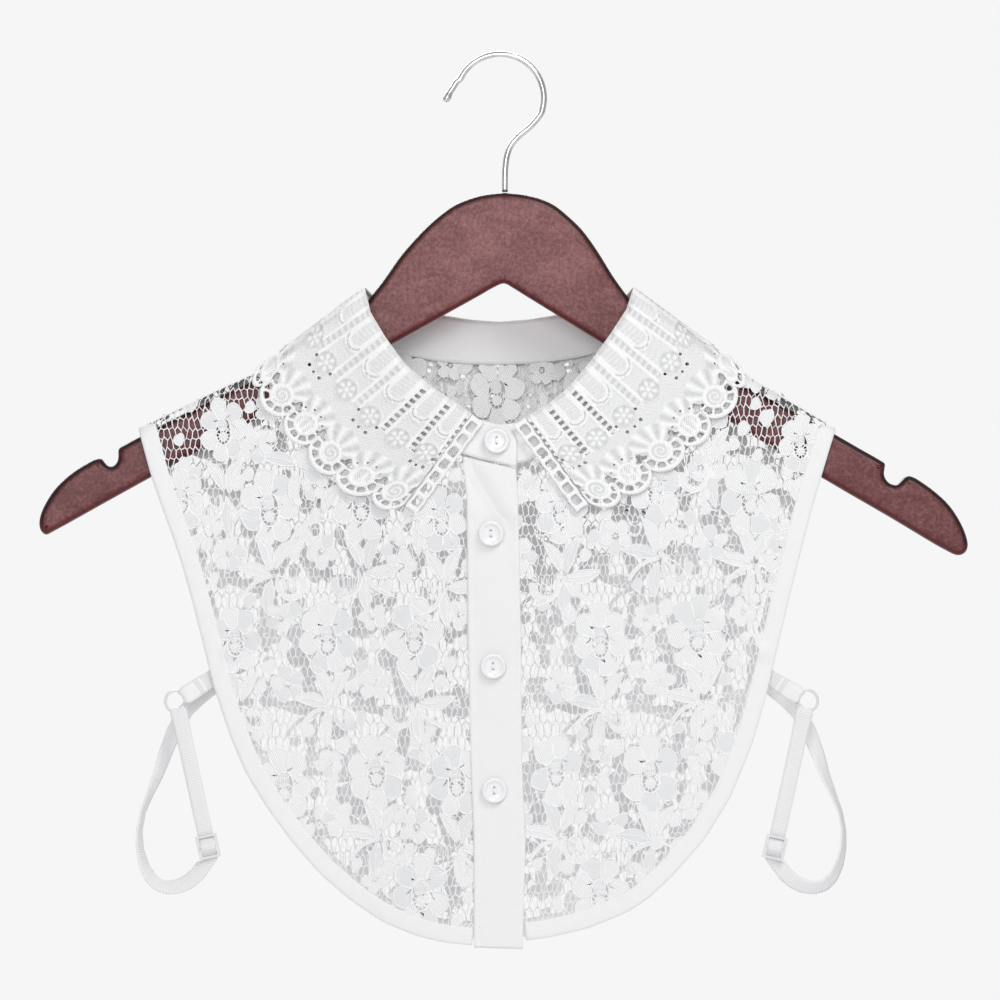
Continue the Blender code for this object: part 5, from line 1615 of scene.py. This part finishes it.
def side_set(side, ru, rv, tu, tv, su, sv):
    tag = "left" if side > 0 else "right"
    centre = place(ru, rv, RING_Y)
    root = place(tu, tv, RING_Y)
    angle = math.atan2(root[2] - centre[2], root[0] - centre[0])
    reach = math.hypot(root[2] - centre[2], root[0] - centre[0])
    gap = RING_WIRE + SEAM + WEBBING / 2 + 0.0001
    tuck = hard(front, tu, tv) + BEHIND - centre[1]
    bend = [(RING_MID, gap + 0.0001), (RING_MID - gap * 0.72, gap * 0.72), (RING_MID - gap, 0)]
    bend += [(rho, -y) for rho, y in bend[1::-1]]
    past = RING_MID + 0.0014
    path = [(reach, tuck), (reach * 0.78, tuck * 0.9), (0.0086, -0.0009), (past, -gap - 0.0002)]
    path += bend[::-1] + [(past, gap), (0.0078, 0.0013), (0.0094, 0.0014)]
    rails = rails_at_ring(centre, angle, TAB_WIDE, path)
    tab = webbing(f"cotton_tab_{tag}", rails, [f"tab_{tag}"], 0.04, TAB_COTTON, TAB_TACKS)
    s = place(su, sv, RING_Y)
    down = np.array([s[0] - centre[0], s[2] - centre[2]])
    run = float(np.linalg.norm(down))
    angle = math.atan2(down[1], down[0])
    inside_path = [
        (run - 0.0022, 0.0011), (run - 0.0044, 0.0021), (run - 0.0070, 0.0020), (run * 0.75, 0.0011),
        (run * 0.5, 0.0009), (run * 0.25, 0.0009), (0.0092, 0.0010), (past, gap),
    ]
    inside_path += bend + [
        (past, -gap), (0.0092, -0.0010), (run * 0.25, -0.0006), (run * 0.5, -0.0005), (run * 0.75, -0.0004),
        (run - 0.0080, 0.0001), (run - 0.0060, 0.00065), (run - 0.0043, 0.0006), (run - 0.0010, -0.00225),
        (run, -0.0024), (run + 0.0010, -0.00225), (run + 0.0043, 0.0006), (run + 0.0062, 0.00075),
    ]
    rows = [np.array(r) for r in rails_at_ring(centre, angle, STRAP_WIDE, inside_path)]
    loop = []
    for k, (du, v, y, tilt) in enumerate(LONG_STRAP):
        p = place(su - side * du, v, y * 0.001)
        if k >= len(LONG_STRAP) - 2:
            p[1] = hard(back, su - side * du, v) - BEHIND
        loop.append((p, math.radians(tilt)))
    mids = np.array([r.mean(axis=0) for r in rows] + [p for p, _ in loop])
    first = rows[-1][-1] - rows[-1][0]
    wide_dir = first / np.linalg.norm(first)
    across = np.linspace(-STRAP_WIDE / 2, STRAP_WIDE / 2, 7)
    start = len(rows)
    for k in range(start, len(mids)):
        t = mids[min(k + 1, len(mids) - 1)] - mids[k - 1]
        t = t / np.linalg.norm(t)
        tilt = loop[k - start][1]
        flat = np.cross(t, np.array([0.0, 1.0, 0.0]))
        flat = flat / np.linalg.norm(flat)
        if np.dot(flat, wide_dir) < 0:
            flat = -flat
        wide_dir = flat
        lift = np.cross(t, flat)
        if lift[1] < 0:
            lift = -lift
        turned = flat * math.cos(tilt) + lift * math.sin(tilt)
        rows.append(np.array([mids[k] + turned * w for w in across]))
    strap = webbing(f"ribbed_strap_{tag}", rows, [f"strap_{tag}"], 0.28, ELASTIC)
    return tab, strap


STRAP_PIECES = [side_set(*row) for row in STRAPS]


# Hanger with rounded edges, and its wire hook

HANGER_LEFT = [
    (505, 193), (492, 193.8), (479, 196), (465, 200.5), (453, 206), (440, 215.5), (428, 226), (415, 239.5),
    (402, 254.5), (393, 267), (384, 280), (375, 291.5), (366, 303), (357, 314), (347, 324.5), (330, 338),
    (300, 356), (262, 376), (219, 396), (185, 413), (139, 437), (127, 443.6), (120.2, 447.6), (118.6, 451),
    (118.6, 456.5), (117.6, 461.5), (114.6, 465), (110, 466), (105, 463), (101.6, 458.8), (97, 458.6),
    (88, 463), (73, 472.6), (58.3, 485.8), (48.5, 499), (41.6, 513), (39.6, 523), (41.2, 530.5),
    (46, 534.6), (53, 531.5), (100, 505.4), (152, 476.6), (230, 433.6), (320, 383.7), (388, 346.2),
    (440, 317.4), (480, 295.2), (494, 287.2),
]
HANGER_RIGHT = [
    (518, 193.9), (530, 196), (543, 200), (555, 206), (568, 216.5), (581, 229), (591, 242), (601, 257),
    (612, 275), (624, 292), (634, 304.5), (646, 318), (668, 336), (700, 357), (745, 384), (790, 410),
    (834, 434), (860, 449), (880, 460.4), (884.6, 463.8), (884.4, 468.4), (883.8, 474.4), (886, 480),
    (890.6, 484), (896, 484.6), (900.6, 481), (905.6, 476.2), (912, 476.8), (922, 482.6), (936, 493),
    (949.4, 506), (960.4, 523), (966.4, 538), (967.4, 546.5), (964.6, 552.6), (958.6, 555.2), (951, 553),
    (890, 517.3), (823, 478.4), (740, 427.7), (660, 378.6), (602, 342.8), (560, 317), (525, 295.4),
    (513, 288),
]
HANGER_THICK = 0.012
HANGER_ROUND = 0.0038
WIRE_RADIUS = 0.0014
BALL_RADIUS = 0.0018
WIRE_SIDES = 16
HOOK_CENTRE = (500.0, 98.0)
HOOK_RADIUS = 44.0
HOOK_ENTRY = [
    (541.2, 113.5), (530.5, 126.5), (519, 136), (511, 145.5), (507, 156), (505.4, 168), (505, 180),
    (505, 191.9),
]


def curve_through(points, per, closed):
    """Smooth line through every point, with per points a step."""
    p = np.array(points, float)
    n = len(p)
    out = []
    for k in range(n if closed else n - 1):
        if closed:
            a, b, c, d = p[(k - 1) % n], p[k], p[(k + 1) % n], p[(k + 2) % n]
        else:
            a, b, c, d = p[max(k - 1, 0)], p[k], p[k + 1], p[min(k + 2, n - 1)]
        la = max(np.linalg.norm(b - a), 1e-6) ** 0.5
        lb = np.linalg.norm(c - b) ** 0.5
        lc = max(np.linalg.norm(d - c), 1e-6) ** 0.5
        m1 = (c - b + lb * ((b - a) / la - (c - a) / (la + lb))) if la > 1e-3 else c - b
        m2 = (c - b + lb * ((d - c) / lc - (d - b) / (lb + lc))) if lc > 1e-3 else c - b
        for s in np.linspace(0, 1, per, endpoint=False):
            h = s * s
            q = h * s
            out.append((2 * q - 3 * h + 1) * b + (q - 2 * h + s) * m1 + (3 * h - 2 * q) * c + (q - h) * m2)
    if not closed:
        out.append(p[-1])
    return np.array(out)


def hanger():
    loop = HANGER_LEFT + [(504, 283.4)] + HANGER_RIGHT[::-1]
    p = curve_through(loop, 3, True)
    q = np.roll(p, -1, axis=0)
    t = unit_of(q - np.roll(p, 1, axis=0))
    n = np.stack([t[:, 1], -t[:, 0]], axis=1)
    turned = 0.5 * float(np.sum(p[:, 0] * q[:, 1] - q[:, 0] * p[:, 1]))
    inward = n if turned < 0 else -n
    half = HANGER_THICK / 2
    arc = [math.radians(a) for a in (0, 15, 30, 45, 60, 75, 90)]
    bend = [(1 - math.cos(a), 1 - math.sin(a)) for a in arc]
    rings = [(inset, -(half - HANGER_ROUND * drop)) for inset, drop in bend[::-1]]
    rings += [(inset, half - HANGER_ROUND * drop) for inset, drop in bend]
    count = len(p)
    points = []
    for inset, y in rings:
        r = p + inward * (inset * HANGER_ROUND / UNIT)
        points.append(place(r[:, 0], r[:, 1], y))
    pile = Pile()
    pile.add(np.array(points), grid_faces(len(rings), count, wrap=True))
    for r in (0, len(rings) - 1):
        flat = [Vector((a[0], a[2], 0)) for a in points[r]]
        tris = np.array(tessellate_polygon([flat]))
        pile.faces.append(tris + r * count)
        pile.slots.append(np.zeros(len(tris)))
    body = pile.piece("shaped_wood", [MAHOGANY], "mahogany", ["hanger_wood"], weld=True)
    sharp = body.modifiers.new("weighted", "WEIGHTED_NORMAL")
    sharp.weight = 60


def hook():
    pile = Pile()
    path = [(445.2, 101.8), (446.4, 99.4), (447.8, 96.6), (449.6, 93), (453, 88), (456.6, 82)]
    for a in range(205, 381, 8):
        w = math.radians(a)
        path.append((HOOK_CENTRE[0] + HOOK_RADIUS * math.cos(w), HOOK_CENTRE[1] + HOOK_RADIUS * math.sin(w)))
    path += HOOK_ENTRY
    line = curve_through(path, 4, False)
    points = place(line[:, 0], line[:, 1], 0.0)
    at = np.arange(len(line)) / 4.0
    ball = BALL_RADIUS / WIRE_RADIUS
    swell = [ball * 0.45, ball * 0.8, ball * 0.95, ball, ball * 0.8, 1.0, 1.0]
    share = np.interp(at, [0, 0.5, 1, 2, 3, 4, 5], swell)
    tube(pile, points, WIRE_RADIUS * share, WIRE_SIDES)
    last = (len(points) - 1) * WIRE_SIDES
    pile.faces.append(np.array([np.arange(WIRE_SIDES)[::-1], last + np.arange(WIRE_SIDES)]))
    pile.slots.append(np.zeros(2))
    pile.piece("wire_hook", [CHROME], "chrome", ["hanger_hook"])


hanger()
hook()

for tag in ("left", "right"):
    for name in (f"ring_{tag}", f"slider_{tag}"):
        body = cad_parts[name]
        for k in range(len(body.data.materials)):
            body.data.materials[k] = FITTING_MAT


# Camera, light, floor


def area(name, at, aim, size, power):
    data = bpy.data.lights.new(name, "AREA")
    data.shape = "RECTANGLE"
    data.size, data.size_y = size
    data.energy = power
    lamp = bpy.data.objects.new(name, data)
    bpy.context.scene.collection.objects.link(lamp)
    lamp.location = at
    way = np.array(aim, float) - np.array(at, float)
    lamp.rotation_euler = Vector(way).to_track_quat("-Z", "Y").to_euler()


FLOOR_HALF = 5.8
FLOOR_Z = -0.9
CAMERA_AT = (0, -4.0, -0.21264)
WORLD_STRENGTH = 0.45


def studio():
    camera = bpy.data.cameras.new("camera")
    camera.lens = 300
    camera.sensor_width = 36
    camera.clip_end = 20
    eye = bpy.data.objects.new("camera", camera)
    eye.location = CAMERA_AT
    eye.rotation_euler = (math.pi / 2, 0, 0)
    bpy.context.scene.collection.objects.link(eye)
    bpy.context.scene.camera = eye
    middle = (0, 0, -0.25)
    area("key", (0.75, -1.35, 1.2), middle, (0.8, 0.8), 15)
    area("fill", (-0.3, -2.2, 0.35), middle, (1.2, 1.2), 16)
    area("rear", (-0.3, 1.6, 0.8), middle, (1.2, 1.2), 26)
    world = bpy.data.worlds.new("world")
    bpy.context.scene.world = world
    world.use_nodes = True
    tree = world.node_tree
    shade = tree.nodes["Background"]
    shade.inputs["Color"].default_value = (1, 1, 1, 1)
    shade.inputs["Strength"].default_value = WORLD_STRENGTH
    seen = tree.nodes.new("ShaderNodeBackground")
    seen.inputs["Color"].default_value = (0.92, 0.92, 0.925, 1)
    path = tree.nodes.new("ShaderNodeLightPath")
    mix = tree.nodes.new("ShaderNodeMixShader")
    tree.links.new(path.outputs["Is Camera Ray"], mix.inputs[0])
    tree.links.new(shade.outputs[0], mix.inputs[1])
    tree.links.new(seen.outputs[0], mix.inputs[2])
    tree.links.new(mix.outputs[0], tree.nodes["World Output"].inputs["Surface"])
    scene = bpy.context.scene
    scene.view_settings.view_transform = "Standard"
    mesh = bpy.data.meshes.new("floor")
    corners = [(x * FLOOR_HALF, y * FLOOR_HALF, FLOOR_Z) for x, y in ((-1, -1), (1, -1), (1, 1), (-1, 1))]
    mesh.from_pydata(corners, [], [(0, 1, 2, 3)])
    floor = bpy.data.objects.new("floor", mesh)
    scene.collection.objects.link(floor)
    m, tree, s = shader_of("floor_pale", (0.86, 0.86, 0.87), 0.9)
    noise = noise_of(tree, object_coords(tree)["Object"], Scale=6.0, Detail=3.0)
    colour = ramp(tree, noise, [(0.3, (0.85, 0.85, 0.86)), (0.7, (0.88, 0.88, 0.89))])
    tree.links.new(colour, s.inputs["Base Color"])
    mesh.materials.append(m)


studio()
